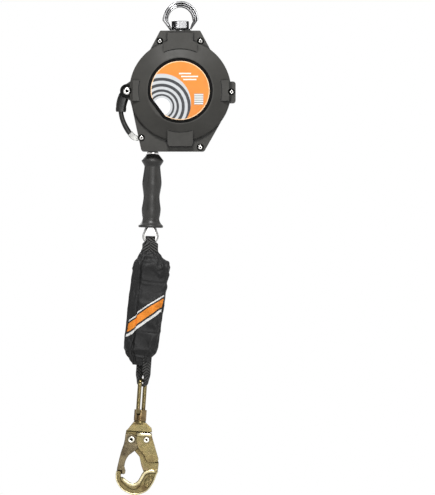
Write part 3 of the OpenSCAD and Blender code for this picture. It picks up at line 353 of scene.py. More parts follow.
# The label's print, in metres from its centre
ARC_FOOT = (0.034, 0.030)  # the arcs run round this point, this far left of and below the centre
DARK_ARCS = ((0.020, 0.0235), (0.0275, 0.032), (0.037, 0.0425), (0.048, 0.0535))
PALE_DISC = 0.016
ARC_REACH = 0.0570
BAR_HEIGHT = 0.0024
BARS = ((0.030, -0.002, 0.020), (0.0245, 0.002, 0.033), (0.019, 0.006, 0.030))  # foot, left and right
BLOCK = ((-0.026, -0.006), (0.026, 0.0425))
RIM = (0.0525, 0.0530)


def label_print():
    """Label: orange, with wide silver arcs round a point low on the left, and plain pale bars."""
    s = Shader("label_print", Coat_Weight=0.05, Coat_Roughness=0.2, Specular_IOR_Level=0.2)
    centre = place("drum_spin")
    p = s.position()
    x, _, z = s.axes(p)
    x = s.math("SUBTRACT", x, centre.x)
    z = s.math("SUBTRACT", z, centre.z)

    def length(a, b):
        return s.math("SQRT", s.math("ADD", s.times(a, a), s.times(b, b)))

    reach = length(s.math("ADD", x, ARC_FOOT[0]), s.math("ADD", z, ARC_FOOT[1]))
    field = s.mix(s.spread(s.noise(p, 30, 3), 0.3, 0.7), (0.66, 0.205, 0.022), (0.70, 0.235, 0.030))
    silver = s.mix(s.between(reach, 0.0, PALE_DISC), (0.50, 0.515, 0.53), (0.72, 0.73, 0.74))
    for arc in DARK_ARCS:
        silver = s.mix(s.between(reach, *arc), silver, (0.030, 0.032, 0.036))
    arc_edge = s.math("ADD", reach, s.times(z, -0.12))
    paint = s.mix(s.spread(arc_edge, ARC_REACH, ARC_REACH + 0.0003, 1.0, 0.0), field, silver)
    for foot, left, right in BARS:
        bar = s.times(s.between(z, foot, foot + BAR_HEIGHT), s.between(x, left, right))
        paint = s.mix(bar, paint, (0.82, 0.78, 0.71))
    block = s.times(s.between(z, *BLOCK[0]), s.between(x, *BLOCK[1]))
    paint = s.mix(block, paint, (0.68, 0.68, 0.66))
    rows = s.between(s.math("FRACT", s.times(z, 250.0)), 0.35, 0.65, 0.04)
    paint = s.mix(s.times(block, rows), paint, (0.10, 0.10, 0.10))
    rim = s.times(s.spread(length(x, z), *RIM), 0.8)
    s.set("Base Color", s.mix(rim, paint, (0.92, 0.62, 0.36)))
    s.varied("Roughness", s.noise(p, 90, 3), 0.30, 0.42)
    s.set("Normal", s.bump(s.noise(p, 900, 2), 0.05, 0.0001))
    return s.material


PLASTIC = moulded_plastic()
RUBBER = rubber("rubber", (0.014, 0.014, 0.0135), (0.026, 0.0255, 0.0245))
GRIP_RUBBER = rubber("grip_rubber", (0.030, 0.0295, 0.028), (0.048, 0.047, 0.0445), 0.36, 0.30)
BOOT_RUBBER = rubber("boot_rubber", (0.012, 0.012, 0.0115), (0.022, 0.0215, 0.0205), 0.30, 0.26)
# Near-black rubber, also used as painted shade in the screw wells and sockets.
BLACK_RUBBER_AND_SHADE = rubber("black_rubber_and_painted_shade", (0.002, 0.002, 0.002), (0.005, 0.005, 0.005), 0.8, 0.12)
WEBBING = webbing()
NYLON = nylon()
LABEL = label_print()
GOLD = gold_zinc("gold_zinc", GOLD_TONES)
CAST_GOLD = gold_zinc("cast_gold", GOLD_TONES, cast=0.6)
# A paler copy of the gold, which paints highlights on the hook's bead, rims and the lever's fold.
PAINTED_HIGHLIGHT_GOLD = gold_zinc("gold_painted_highlight", PAINTED_HIGHLIGHT_TONES, 0.22)
COPPER_GOLD = gold_zinc("copper_gold", COPPER_TONES, 0.2)
GATE_GOLD = gold_zinc("gate_gold", GATE_TONES, 0.3)
LINK_GOLD = gold_zinc("link_gold", GOLD_TONES, 0.16)
ROPE = wire_rope()
CHROME = metal("chrome", (0.72, 0.72, 0.73), (0.58, 0.58, 0.59), 0.10, 500, 0.06)
# Dark chrome for the eye's grooves and edges: painted shade in the grooves and painted dark reflections at the
# edges.
CHROME_SHADE = metal("chrome_shade", (0.060, 0.060, 0.062), (0.030, 0.030, 0.031), 0.35, 500, 0.06)
ZINC = metal("bright_zinc", (0.82, 0.81, 0.79), (0.62, 0.61, 0.59), 0.24)
SHEET = metal("sheet_steel", (0.50, 0.51, 0.52), (0.38, 0.39, 0.40), 0.34)
BRONZE = metal("bronze", (0.60, 0.42, 0.20), (0.46, 0.30, 0.13), 0.32)
SPRING_STEEL = metal("spring_steel", (0.24, 0.25, 0.27), (0.15, 0.15, 0.17), 0.28)
ALUMINIUM = metal("aluminium", (0.70, 0.71, 0.72), (0.55, 0.56, 0.57), 0.30)
PALE_ZINC = metal("pale_zinc", (0.86, 0.83, 0.72), (0.66, 0.62, 0.48), 0.20)
DULL_ZINC = metal("dull_zinc", (0.30, 0.30, 0.29), (0.16, 0.16, 0.155), 0.26)
SCREW_ZINC = metal("screw_zinc", (0.50, 0.49, 0.47), (0.28, 0.275, 0.265), 0.26)
LINING = rubber("brake_lining", (0.07, 0.045, 0.03), (0.12, 0.08, 0.05))

SLOT_MATERIALS = {
    "housing": PLASTIC,
    "label": LABEL,
    "plate": SHEET,
    "screw": ZINC,
    "bronze": BRONZE,
    "lining": LINING,
    "spring": SPRING_STEEL,
    "rubber": RUBBER,
    "eye": CHROME,
    "drum": ALUMINIUM,
    "cable": SHEET,
    "pawl": SPRING_STEEL,
    "ferrule": ALUMINIUM,
    "webbing": WEBBING,
    "pack_cloth": NYLON,
    "gold": GOLD,
    "rivet": PALE_ZINC,
}


# ---- mesh building
def spline(p, q, r, w, t):
    """Value at share t between q and r on the Catmull-Rom curve through p, q, r and w."""
    bend = (2 * p - 5 * q + 4 * r - w) * t * t
    return 0.5 * (2 * q + (r - p) * t + bend + (3 * q - p - 3 * r + w) * t**3)


def curve_through(points, steps):
    """Open smooth curve through points of any length."""
    last = len(points) - 1
    out = []
    for i in range(last):
        four = (points[max(i - 1, 0)], points[i], points[i + 1], points[min(i + 2, last)])
        for k in range(steps):
            out.append(tuple(spline(*values, k / steps) for values in zip(*four)))
    out.append(tuple(points[-1]))
    return out


def rounded_box_loop(half_x, half_y, r, n=5):
    """A closed loop of (x, y) round a rectangle with corner radius r."""
    r = min(r, half_x - 1e-3, half_y - 1e-3)
    loop = []
    for cx, cy, start in ((1, 1, 0), (-1, 1, 90), (-1, -1, 180), (1, -1, 270)):
        for k in range(n + 1):
            a = radians(start + 90 * k / n)
            loop.append((cx * (half_x - r) + r * cos(a), cy * (half_y - r) + r * sin(a)))
    return loop


def finish_piece(name, verts, faces, uvs, matrix, body, material, slot, replaced=()):
    """A smooth mesh piece from local millimetres, riding on its body. uvs holds one pair per face corner."""
    mesh = bpy.data.meshes.new(name)
    mesh.from_pydata([matrix @ Vector(v) for v in verts], [], faces)
    layer = mesh.uv_layers.new(name="flat")
    layer.data.foreach_set("uv", [c for face in uvs for uv in face for c in uv])
    mesh.materials.append(material)
    mesh.shade_smooth()
    piece = bpy.data.objects.new(name, mesh)
    bpy.context.collection.objects.link(piece)
    if body:
        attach(piece, body)
    if replaced:
        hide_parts(*replaced)
    return piece


def steps_along(points):
    """Distance from the first point to each, in metres."""
    steps = [0.0]
    for a, b in zip(points, points[1:]):
        steps.append(steps[-1] + (Vector(b) - Vector(a)).length * MM)
    return steps


def grid_piece(rows, closed_path=False, caps=True):
    """Verts, faces and corner UVs from closed rows; u runs round a row and v along the rows, in metres."""
    count, width = len(rows), len(rows[0])
    verts = [v for row in rows for v in row]
    girth = [steps_along([*row, row[0]]) for row in rows]
    middles = [sum((Vector(v) for v in row), Vector()) / width for row in rows]
    lengths = steps_along([*middles, middles[0]])
    faces, uvs = [], []
    for j in range(count if closed_path else count - 1):
        below = (j + 1) % count
        for i in range(width):
            across = (i + 1) % width
            faces.append((j * width + i, j * width + across, below * width + across, below * width + i))
            top, foot = lengths[j], lengths[j + 1]
            left, right = girth[j][i], girth[j][i + 1]
            uvs.append(((left, top), (right, top), (girth[below][i + 1], foot), (girth[below][i], foot)))
    if caps and not closed_path:
        for j in (0, count - 1):
            ring = [j * width + i for i in range(width)]
            faces.append(tuple(ring if j else reversed(ring)))
            uvs.append(tuple((0.0, lengths[j]) for _ in ring))
    return verts, faces, uvs


def ring_points(r, segments):
    return [(r * cos(2 * pi * i / segments), r * sin(2 * pi * i / segments)) for i in range(segments)]


def lathe(profile, segments=96, steps=0):
    """Rows of a solid of revolution about Z from (radius, z) points."""
    line = curve_through(profile, steps) if steps else profile
    return [[(x, y, z) for x, y in ring_points(r, segments)] for r, z in line]


def turned_about_y(centre, profile, side, segments=40):
    """Rows of a solid of revolution about a front-to-back axis, from (radius, depth) points."""
    x, z = centre
    return [[(x + a, side * y, z + b) for a, b in ring_points(r, segments)] for r, y in profile]


def turned_skin(centre, profile, side, segments=40):
    """Open skin of revolution about a front-to-back axis, facing outwards on either side."""
    return grid_piece(turned_about_y(centre, profile, side, segments)[::side], caps=False)


def join_grids(grids):
    """One list of verts, faces and UVs from several."""
    verts, faces, uvs = [], [], []
    for v, f, u in grids:
        base = len(verts)
        verts += v
        faces += [tuple(i + base for i in face) for face in f]
        uvs += u
    return verts, faces, uvs


def crossing(spine, j, sideways, closed=False):
    """Unit vectors across a spine at its point j; the second is the one nearest to sideways."""
    last = len(spine) - 1
    before = spine[j - 1] if closed or j else spine[0]
    after = spine[(j + 1) % (last + 1)] if closed or j < last else spine[last]
    along = (Vector(after) - Vector(before)).normalized()
    side = (sideways - along * sideways.dot(along)).normalized()
    return side.cross(along), side


def sweep(spine, loop_at, sideways=Vector((0, 1, 0)), closed=False):
    """Rows along a spine of points; loop_at(j) gives the (across, sideways) loop at its point j."""
    rows = []
    for j, point in enumerate(spine):
        across, side = crossing(spine, j, sideways, closed)
        rows.append([tuple(Vector(point) + across * a + side * b) for a, b in loop_at(j)])
    return rows


STRANDS = 6
LAY = 0.026  # metres along the rope for one turn of a strand
STRAND_SHARE = 0.37  # of the rope's radius


def rope_strands(name, spine, radius, body, replaced):
    """Strands laid round a spine of points in the line's frame, as one piece."""
    grids = []
    strand_r = radius * STRAND_SHARE
    lengths = steps_along(spine)
    for s in range(STRANDS + 1):
        reach = radius - strand_r if s < STRANDS else 0.0
        centre = []
        for j, point in enumerate(spine):
            across, side = crossing(spine, j, Vector((0, 1, 0)))
            a = 2 * pi * (s / STRANDS + lengths[j] / LAY)
            centre.append(tuple(Vector(point) + across * reach * cos(a) + side * reach * sin(a)))
        grids.append(grid_piece(sweep(centre, lambda j: ring_points(strand_r * 1.04, 10))))
    finish_piece(name, *join_grids(grids), LINE, body, ROPE, "cable", replaced)


def forge(piece, voxel, passes):
    """Rounds every edge of a piece as a forging or a polished casting has it."""
    skin = piece.modifiers.new("skin", "REMESH")
    skin.mode = "VOXEL"
    skin.voxel_size = voxel * MM
    skin.use_smooth_shade = True
    flow = piece.modifiers.new("flow", "SMOOTH")
    flow.factor = 0.5
    flow.iterations = passes


def swell(piece, thickness):
    """Thickens a forged bar evenly, by a modifier."""
    fuller = piece.modifiers.new("fuller", "DISPLACE")
    fuller.strength = thickness * MM
    fuller.mid_level = 0.0


def round_edges(piece, bevel):
    """Clean rounded edges on a moulded or machined piece."""
    weld = piece.modifiers.new("weld", "WELD")
    weld.merge_threshold = 0.01 * MM
    flat = piece.modifiers.new("flat", "DECIMATE")
    flat.decimate_type = "DISSOLVE"
    flat.angle_limit = radians(0.4)
    edge = piece.modifiers.new("edge", "BEVEL")
    edge.width = bevel * MM
    edge.segments = 2
    edge.limit_method = "ANGLE"
    edge.angle_limit = radians(32)
    edge.harden_normals = True
    edge.use_clamp_overlap = True


def dress(node):
    """A CAD node's finish: its material, and its edges by modifiers alone."""
    piece = frame["nodes"][node]
    slot = next(p["material_slot"] for p in frame["record"]["subparts"] if p["node"] == node)
    piece.data.materials.clear()
    piece.data.materials.append(TINTS.get(node, SLOT_MATERIALS[slot]))
    if node in FORGED:
        forge(piece, *FORGED[node])
    if node in EDGES:
        round_edges(piece, EDGES[node])
    if node in SWOLLEN:
        swell(piece, SWOLLEN[node])


# ---- CAD nodes, dressed
# Voxel size in millimetres and smoothing passes of the forged and polished pieces
FORGED = {
    "handle_end_fitting": (0.4, 6),
    "swivel_barrel": (0.4, 5),
    "hook_body": (0.45, 8),
    "gate": (0.35, 5),
    "swivel_link": (0.35, 4),
}
SWOLLEN = {"swivel_link": 0.6}  # millimetres all round
EDGES = {  # width of the rounded edges in millimetres
    "front_cover": 0.7,
    "rear_cover": 0.7,
    "swivel_bolt": 0.8,
    "outlet_nozzle": 0.4,
    "outlet_collar": 0.4,
    "cover_screws": 0.3,
    "handle_bolt": 0.5,
    "cover_nuts": 0.3,
    "handle_nut": 0.4,
    "hook_rivets": 0.3,
    "lock_lever": 0.7,
}
TINTS = {  # nodes that differ from their slot
    "swivel_barrel": COPPER_GOLD,
    "gate": GATE_GOLD,
    "swivel_link": LINK_GOLD,
    "handle_end_fitting": DULL_ZINC,
    "outlet_nozzle": DULL_ZINC,
    "cover_screws": SCREW_ZINC,
}
for node_name in frame["nodes"]:
    dress(node_name)

# ---- hand grip
GRIP_L = 136.0
GRIP_END = 27.2  # height above the neck's pivot
GRIP_TOP = GRIP_END + GRIP_L
# Radius and share of the length from the top, down the outside and up the bore of the lower end
GRIP_PROFILE = [(9.6, -0.0005), (11.4, 0.004), (15.0, 0.034), (19.4, 0.074), (20.3, 0.093), (18.6, 0.118),
                (15.2, 0.158), (14.8, 0.185), (16.2, 0.27), (17.9, 0.39), (16.8, 0.47), (14.9, 0.57),
                (15.8, 0.655), (17.6, 0.745), (16.6, 0.83), (15.5, 0.885), (18.2, 0.935), (22.2, 0.966),
                (22.9, 0.98), (22.3, 0.994), (20.8, 0.999), (16.0, 0.998), (14.4, 0.985), (12.0, 0.93),
                (8.5, 0.90), (3.2, 0.895)]


def hand_grip():
    """Waisted rubber grip, with a collar at the top and a rolled lip at the foot."""
    rows = lathe([(r, GRIP_TOP - GRIP_L * share) for r, share in GRIP_PROFILE], 72, 4)
    grid = grid_piece(rows, caps=False)
    finish_piece("hand_grip_rubber", *grid, LINE, "line_end", GRIP_RUBBER, "rubber", ["hand_grip"])


# ---- cable
ROPE_R = 2.4
EYE_R = 12.8  # of the rope's middle line
EYE_Z = 11.2  # centre of the bow above the neck's pivot
BOW_STEPS, LEAD_STEPS = 40, 8  # round the bow, and down each of its legs
CABLE_TOP = GRIP_TOP + 95.0
CABLE_END = GRIP_END + 48.0
CABLE_STEPS = 40


def eye_spine(r, top_half, top_z):
    """Teardrop line: down one leg, round the bow and up the other, about the eye's centre."""
    reach = hypot(top_half, top_z)
    start = atan2(top_z, top_half) - acos(r / reach)
    touch = (r * cos(start), r * sin(start))
    shares = [k / LEAD_STEPS for k in range(LEAD_STEPS)]
    leg = [(top_half + (touch[0] - top_half) * t, top_z + (touch[1] - top_z) * t) for t in shares]
    bow = []
    for k in range(BOW_STEPS + 1):
        a = start - (pi + 2 * start) * k / BOW_STEPS
        bow.append((r * cos(a), r * sin(a)))
    return [(x, 0.0, z + EYE_Z) for x, z in leg + bow + [(-x, z) for x, z in reversed(leg)]]


def cable_eye():
    """The cable's loop and the grooved thimble inside it."""
    loop = eye_spine(EYE_R, ROPE_R + 0.3, 30.0)
    rope_strands("cable_loop", loop, ROPE_R - 0.02, "line_end", ["cable_eye"])
    spine = eye_spine(EYE_R - ROPE_R - 0.35, 1.6, 21.0)
    channel = [(-0.55, -4.1), (-0.55, 4.1), (0.1, 4.3), (3.1, 3.5), (3.1, 2.9), (0.9, 2.7), (0.45, 2.1)]
    channel += [(0.45, -2.1), (0.9, -2.7), (3.1, -2.9), (3.1, -3.5), (0.1, -4.3)]
    rows = sweep(spine, lambda j: [(-a, b) for a, b in channel])
    finish_piece("thimble", *grid_piece(rows), LINE, "line_end", ZINC, "screw", ["cable_thimble"])


def cable_line():
    """The run between the drum and the ferrule; the real run lengthens as the line is pulled out, but this piece
    is baked in place at rest.
    """
    top, end = Vector((0, 0, CABLE_TOP)), Vector((0, 0, CABLE_END))
    spine = [tuple(top.lerp(end, k / CABLE_STEPS)) for k in range(CABLE_STEPS + 1)]
    rows = sweep(spine, lambda j: ring_points(ROPE_R, 20))
    run = finish_piece("cable_line", *grid_piece(rows), LINE, None, ROPE, "cable")
    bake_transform(run)
    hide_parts("cable_run")


# ---- webbing
STRAP_COLUMNS, BEND_STEPS = 12, 16
EYE_HALF, STRAP_HALF = 9.0, 14.6  # half width of the upper strap in the eye, and below it
WIDENING = (3.5, 7.0)  # height where it starts to widen, and the length this takes
STRAP_CUP = 1.6  # how far its edges turn in
LEG_HALF, LEG_CUP = 8.9, 0.8
LEG_TWIST = radians(34)  # of the lower strap's legs, up to the pack's foot
UPPER_THICK, LOWER_THICK = 2.4, 3.2


def eased(share):
    """A share held to 0 to 1, with a soft start and end."""
    share = min(max(share, 0.0), 1.0)
    return share * share * (3 - 2 * share)


def strap_rows(spine, halves, thick, cup):
    """Rows of a webbing strap: halves and cup (edge rise) change along it."""

    def loop(j):
        half, n = halves[j], STRAP_COLUMNS
        top = [(thick / 2 + cup[j] * (k / n * 2 - 1) ** 2, half * (1 - 2 * k / n)) for k in range(n + 1)]
        low = [(-thick / 2 + cup[j] * (k / n * 2 - 1) ** 2, half * (2 * k / n - 1)) for k in range(n + 1)]
        return [(a, b * (1.0 if 0 < k < n else 0.975)) for k, (a, b) in enumerate(top)] + low

    return sweep(spine, loop, Vector((1, 0, 0)))


def loop_spine(leg, bend):
    """Down one leg, round the bend and up the other leg, which is its mirror."""
    leg = curve_through(leg, 6)
    return [(x, -y, z) for x, y, z in reversed(leg)] + bend + leg


def upper_webbing():
    """Strap round the thimble's bow, drawn in where it lies in the eye and full width below it."""
    r, lift = 8.0, 2.6
    turns = [radians(-90 + 180 * k / BEND_STEPS) for k in range(BEND_STEPS + 1)]
    leg = [(0.0, 8.0, 1.5), (0.0, 8.0, -5.0), (0.0, 7.4, -13.0), (0.0, 6.0, -21.0), (0.0, 4.5, -29.0)]
    spine = loop_spine(leg, [(0.0, r * sin(a), lift + r * cos(a)) for a in turns])
    halves, cups = [], []
    for _, _, z in spine:
        share = eased((WIDENING[0] - z) / WIDENING[1])
        halves.append(EYE_HALF + (STRAP_HALF - EYE_HALF) * share)
        cups.append(-STRAP_CUP * share * (1 if z > -12 else 0.4))
    rows = strap_rows(spine, halves, UPPER_THICK, cups)
    finish_piece("neck_webbing", *grid_piece(rows), LINE, "neck", WEBBING, "webbing", ["upper_web_loop"])


def turned_about_z(point, angle):
    x, y, z = point
    return (x * cos(angle) - y * sin(angle), x * sin(angle) + y * cos(angle), z)


def lower_webbing():
    """Slack strap through the link's top bar; its two legs spread and twist up into the pack's foot."""
    r, drop = 7.4, 3.6
    turns = [radians(180 * k / BEND_STEPS) for k in range(BEND_STEPS + 1)]
    leg = [(0.0, r, -drop), (0.0, 8.4, 4.0), (0.0, 9.6, 12.0), (0.0, 10.2, 22.0), (0.0, 10.4, 44.0)]
    spine = loop_spine(leg, [(0.0, -r * cos(a), -drop - r * 0.85 * sin(a)) for a in turns])
    flat = strap_rows(spine, [LEG_HALF] * len(spine), LOWER_THICK, [LEG_CUP] * len(spine))
    rows = []
    for row, (_, _, z) in zip(flat, spine):
        rows.append([turned_about_z(v, -LEG_TWIST * eased((z + 2.0) / 22.0)) for v in row])
    grid = grid_piece(rows)
    finish_piece("foot_webbing", *grid, LINK, "shock_pack", WEBBING, "webbing", ["lower_web_loop"])


# ---- shock pack
PACK_LEFT = [(4.0, -13.8), (-3.0, -16.4), (-14.7, -20.8), (-27.0, -27.6), (-38.0, -29.0), (-105.0, -28.8),
             (-150.0, -27.8), (-172.0, -27.0), (-184.0, -26.0), (-194.0, -21.5), (-204.0, -13.3),
             (-214.0, -5.5)]
PACK_RIGHT = [(4.0, 13.6), (-1.0, 15.0), (-9.5, 23.0), (-19.5, 38.4), (-29.0, 40.4), (-63.0, 39.6),
              (-97.0, 39.2), (-142.0, 38.6), (-175.0, 38.4), (-186.5, 36.4), (-199.0, 27.6), (-210.5, 24.5)]
PACK_DEPTH = [(4.0, 7.4), (-2.0, 8.4), (-14.0, 13.5), (-32.0, 17.8), (-60.0, 19.0), (-150.0, 19.0),
              (-182.0, 17.8), (-196.0, 15.0), (-214.0, 12.0)]
PACK_TOP, PACK_FALL = 4.0, 218.0  # height of the top edge, and from there down to the foot
CLOTH_INSET = 0.6
COLUMNS, RINGS = 112, 92
HELD_RINGS, HELD_COLUMNS = 3, 2  # sewn down at the top and foot, and beside each side seam
CORNER = 0.62  # power of the soft-cornered section; 1 is an oval
DRAWN_SPAN, DRAWN_BACK = 0.62, 0.42  # of the left corner, as shares of the half width and the depth
FOLD_DEPTH, FOLD_AT, FOLD_REACH = 2.0, 0.50, 2.6  # of the fold beside it
CLOTH = {
    "quality": 6,
    "mass": 0.15,
    "tension_stiffness": 25,
    "compression_stiffness": 25,
    "shear_stiffness": 8,
    "bending_stiffness": 0.12,
    "use_pressure": True,
    "uniform_pressure_force": 3.0,
    "shrink_min": -0.05,
    "vertex_group_mass": "held",
}
CLOTH_FRAMES = 22
LARGEST_MOVE = 5.0 * MM
# Depth, height and reach of the pack's gathers and of its sharp folds
GATHERS = ((0.9, -6.0, 16.0), (1.5, -206.0, 15.0))
SHARP_FOLDS = ((2.3, -27.0, 19.0), (1.84, -193.0, 15.0))
FOLD_WIDTH = 0.11
PLEATS = 17


def along_curve(points, z):
    """Value at height z on a list of (z, value) points, highest first."""
    for (za, va), (zb, vb) in zip(points, points[1:]):
        if z >= zb:
            return va + (vb - va) * eased((za - z) / (za - zb))
    return points[-1][1]


def pack_ring(z):
    """One ring of the pack: a soft-cornered box, its front left corner drawn back, with a fold beside it."""
    left = along_curve(PACK_LEFT, z) + CLOTH_INSET
    right = along_curve(PACK_RIGHT, z) - CLOTH_INSET
    deep = along_curve(PACK_DEPTH, z) - CLOTH_INSET
    middle, half = (left + right) / 2, (right - left) / 2
    ring = []
    for c, s in ring_points(1.0, COLUMNS):
        x = half * abs(c) ** CORNER * (1 if c > 0 else -1)
        y = deep * abs(s) ** CORNER * (1 if s > 0 else -1)
        turn = 1.0 - min(1.0, (x + half) / (DRAWN_SPAN * half))
        fold = FOLD_DEPTH * exp(-(((x + FOLD_AT * half) / FOLD_REACH) ** 2)) if y < 0 else 0.0
        ring.append((middle + x, max(y, -deep * (1.0 - DRAWN_BACK * turn * turn)) + fold, z))
    return ring


def held_points():
    """Vertices sewn down: the rings at the top and foot, and both side seams."""
    held = []
    for i in range(COLUMNS * RINGS):
        ring, column = divmod(i, COLUMNS)
        from_seam = min(column, COLUMNS - column, abs(column - COLUMNS // 2))
        if not HELD_RINGS <= ring < RINGS - HELD_RINGS or from_seam < HELD_COLUMNS:
            held.append(i)
    return held


def shock_pack():
    """The pack's cloth, blown out over its folded webbing by a cloth simulation, then creased."""
    rows = [pack_ring(PACK_TOP - PACK_FALL * j / (RINGS - 1)) for j in range(RINGS)]
    verts, faces, uvs = grid_piece(rows, caps=False)
    piece = finish_piece("pack_cloth", verts, faces, uvs, PACK, None, NYLON, "pack_cloth")
    mesh = piece.data
    flat = mesh.attributes.new("print", "FLOAT_VECTOR", "POINT")
    flat.data.foreach_set("vector", [c for x, y, z in verts for c in (x * MM, z * MM, 1.0 if y < 2 else 0.0)])
    piece.vertex_groups.new(name="held").add(held_points(), 1.0, "ADD")
    blow_out(piece)
    crease(mesh, verts)
    mesh.update()
    mod = piece.modifiers.new("sub", "SUBSURF")
    mod.levels = mod.render_levels = 1
    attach(piece, "shock_pack")
    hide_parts("pack_cover")


def blow_out(piece):
    """Cloth simulation with inner pressure and a little spare cloth, applied to the mesh up to a limit."""
    scene = bpy.context.scene
    cloth = piece.modifiers.new("cloth", "CLOTH")
    for key, value in CLOTH.items():
        setattr(cloth.settings, key, value)
    cloth.settings.effector_weights.gravity = 0.0
    cloth.collision_settings.use_collision = False
    cloth.point_cache.frame_start = 1
    cloth.point_cache.frame_end = CLOTH_FRAMES
    for number in range(1, CLOTH_FRAMES + 1):
        scene.frame_set(number)
    blown = piece.evaluated_get(bpy.context.evaluated_depsgraph_get())
    places = [v.co.copy() for v in blown.data.vertices]
    piece.modifiers.remove(cloth)
    for vertex, co in zip(piece.data.vertices, places):
        move = co - vertex.co
        if move.length > LARGEST_MOVE:
            move = move.normalized() * LARGEST_MOVE
        vertex.co += move
    scene.frame_set(1)


def near(z, places):
    """Sum of the depths of the given places, each fading with the distance from its height."""
    return sum(depth * exp(-(((z - height) / reach) ** 2)) for depth, height, reach in places)


def crease(mesh, verts):
    """Gathers at the neck and foot, slack folds down the sides and creases, as moves along the normal."""
    mesh.update()
    normals = [v.normal.copy() for v in mesh.vertices]
    for vertex, normal, (x, y, z) in zip(mesh.vertices, normals, verts):
        turn = atan2(y * 1.6, x - 6.8)
        pleats = sin(turn * PLEATS + 2.2 * noise.noise((x * 0.03, y * 0.03, z * 0.04)))
        gather = near(z, GATHERS) * pleats
        long_fold = 1.1 * noise.noise((x * 0.075, y * 0.075, z * 0.014))
        cross_fold = 0.8 * noise.noise((x * 0.02 + 7, y * 0.02, z * 0.085 + 0.03 * x))
        fine = 0.28 * noise.noise((x * 0.22, y * 0.22, z * 0.17))
        valley = abs(noise.noise((x * 0.045 + z * 0.035, y * 0.05 + 3, z * 0.085 - x * 0.02)))
        sharp_fold = -near(z, SHARP_FOLDS) * max(0.0, 1.0 - valley / FOLD_WIDTH)
        vertex.co += normal * (gather + long_fold + cross_fold + fine + sharp_fold) * MM


# ---- carry handle
BOSS = (-98.4, -0.5)
SCREW_SPOTS = [(-37.6, 91.6), (37.4, 91.6), (94.7, -2.2), (-71.6, -87.0), (37.0, -104.5)]
WELL_FLOOR = 23.8  # front of the screws' seats, from the middle plane
# The sockets' floors get near-black discs of painted shade.
SCREW_SOCKET = (2.05, WELL_FLOOR + 1.3)  # radius, and depth of its floor
BOLT_SOCKET = (3.4, 26.1)
# Painted shade: profile of the near-black ring laid in each screw's well.
WELL_SHADE_RING = [(5.0, 0.0), (5.0, 1.9), (5.5, 2.3), (6.1, 2.2), (6.4, 1.8), (6.4, 0.0)]  # over the well's floor
BOOT_RING = [(8.7, 26.0), (8.8, 27.9), (9.6, 28.5), (11.4, 28.3), (12.6, 27.4), (12.9, 25.8), (12.9, 9.0)]
# Points of the boot, its cuff and the strap: x and z from the boss, and half width
BOOT = [(1.0, 4.0, 8.4), (-2.0, -3.0, 9.2), (-6.4, -10.0, 10.0), (-10.0, -21.5, 9.9), (-11.3, -31.0, 9.2),
        (-11.6, -36.2, 8.8), (-11.6, -37.6, 7.6)]
CUFF = [(-10.9, -28.0, 9.3), (-11.2, -31.0, 9.7), (-11.5, -36.0, 9.5), (-11.6, -38.2, 8.6)]
STRAP = [(-11.5, -33.0, 4.4), (-11.2, -41.0, 4.4), (-8.6, -52.0, 4.5), (-4.0, -63.0, 4.7),
         (2.4, -74.1, 4.8), (4.9, -77.0, 4.6)]


def black_piece(name, grids):
    """A near-black piece on the housing, in the drum's frame: the boss's rubber rings, the ring in the label's
    groove, and painted shade in the screw wells and sockets.
    """
    finish_piece(name, *join_grids(grids), DRUM, "housing", BLACK_RUBBER_AND_SHADE, "rubber")


def handle_piece(name, points, depth, corner, replaced=()):
    """A rubber bar of rounded section along points of the front view."""
    line = curve_through([(BOSS[0] + x, BOSS[1] + z, half) for x, z, half in points], 8)
    spine = [(x, 0.0, z) for x, z, _ in line]
    rows = sweep(spine, lambda j: rounded_box_loop(line[j][2], depth, corner))
    finish_piece(name, *grid_piece(rows), DRUM, "housing", BOOT_RUBBER, "rubber", replaced)


def carry_handle():
    """Boot at the boss with its cuff, the strap down to the lower screw, and the boss's seal rings."""
    handle_piece("boot", BOOT, 7.9, 5.6, ["handle_boot"])
    handle_piece("boot_cuff", CUFF, 8.7, 6.4)
    handle_piece("strap_rubber", STRAP, 6.4, 4.0, ["handle_grip"])
    black_piece("boot_rings", [turned_skin(BOSS, BOOT_RING, side, 64) for side in (-1, 1)])


def screw_well_shades():
    """Near-black ring in the well of each cover screw: painted shade round the screw's head."""
    profile = [(r, WELL_FLOOR + y) for r, y in WELL_SHADE_RING]
    black_piece("screw_well_shades", [turned_skin(spot, profile, -1) for spot in SCREW_SPOTS])


def socket_painted_shades():
    """Near-black discs on the floors of the hexagon sockets in the cover screws and the handle bolt: painted
    shade.
    """
    grids = []
    for spot, (r, y) in [(spot, SCREW_SOCKET) for spot in SCREW_SPOTS] + [(BOSS, BOLT_SOCKET)]:
        grids.append(turned_skin(spot, [(r, y - 0.2), (r, y), (0.01, y)], -1, 6))
    black_piece("socket_painted_shades", grids)


# ---- snap hook
GATE_PIVOT = (-13.4, -32.5)
LOCK_PIVOT = (14.6, -31.5)
CHEEK_FACE = 9.1
LEVER_TOP = -21.9
PANEL_X, PANEL_Z, PANEL_TILT = 24.2, -107.6, radians(61)
PANEL_LONG, PANEL_SHORT = 12.4, 6.6  # half lengths
PANEL_STEPS = ((1.0, 5.3), (1.0, 6.0), (0.95, 6.35), (0.88, 6.35), (0.84, 5.95), (0.5, 6.0), (0.02, 6.0))


def rivets():
    """Pale rivet heads on both faces: hollow at the gate, dimpled at the lever."""
    grids = []
    foot = CHEEK_FACE + 0.1
    for centre, r, hollow in ((GATE_PIVOT, 6.2, 3.0), (LOCK_PIVOT, 5.6, 1.9)):
        head = [(0.01, 0.0), (r - 0.3, 0.0), (r, 0.4), (r - 0.2, 1.1), (r - 1.0, 1.6), (hollow + 0.5, 1.7),
                (hollow + 0.1, 1.4), (hollow, -2.0), (0.01, -2.4)]
        grids += [turned_skin(centre, [(a, foot + y) for a, y in head], side) for side in (-1, 1)]
        grids.append(grid_piece(turned_about_y(centre, [(2.5, -foot), (2.5, foot)], 1, 24)))
    finish_piece("rivets", *join_grids(grids), HOOK, "hook", PALE_ZINC, "rivet", ["hook_rivets"])


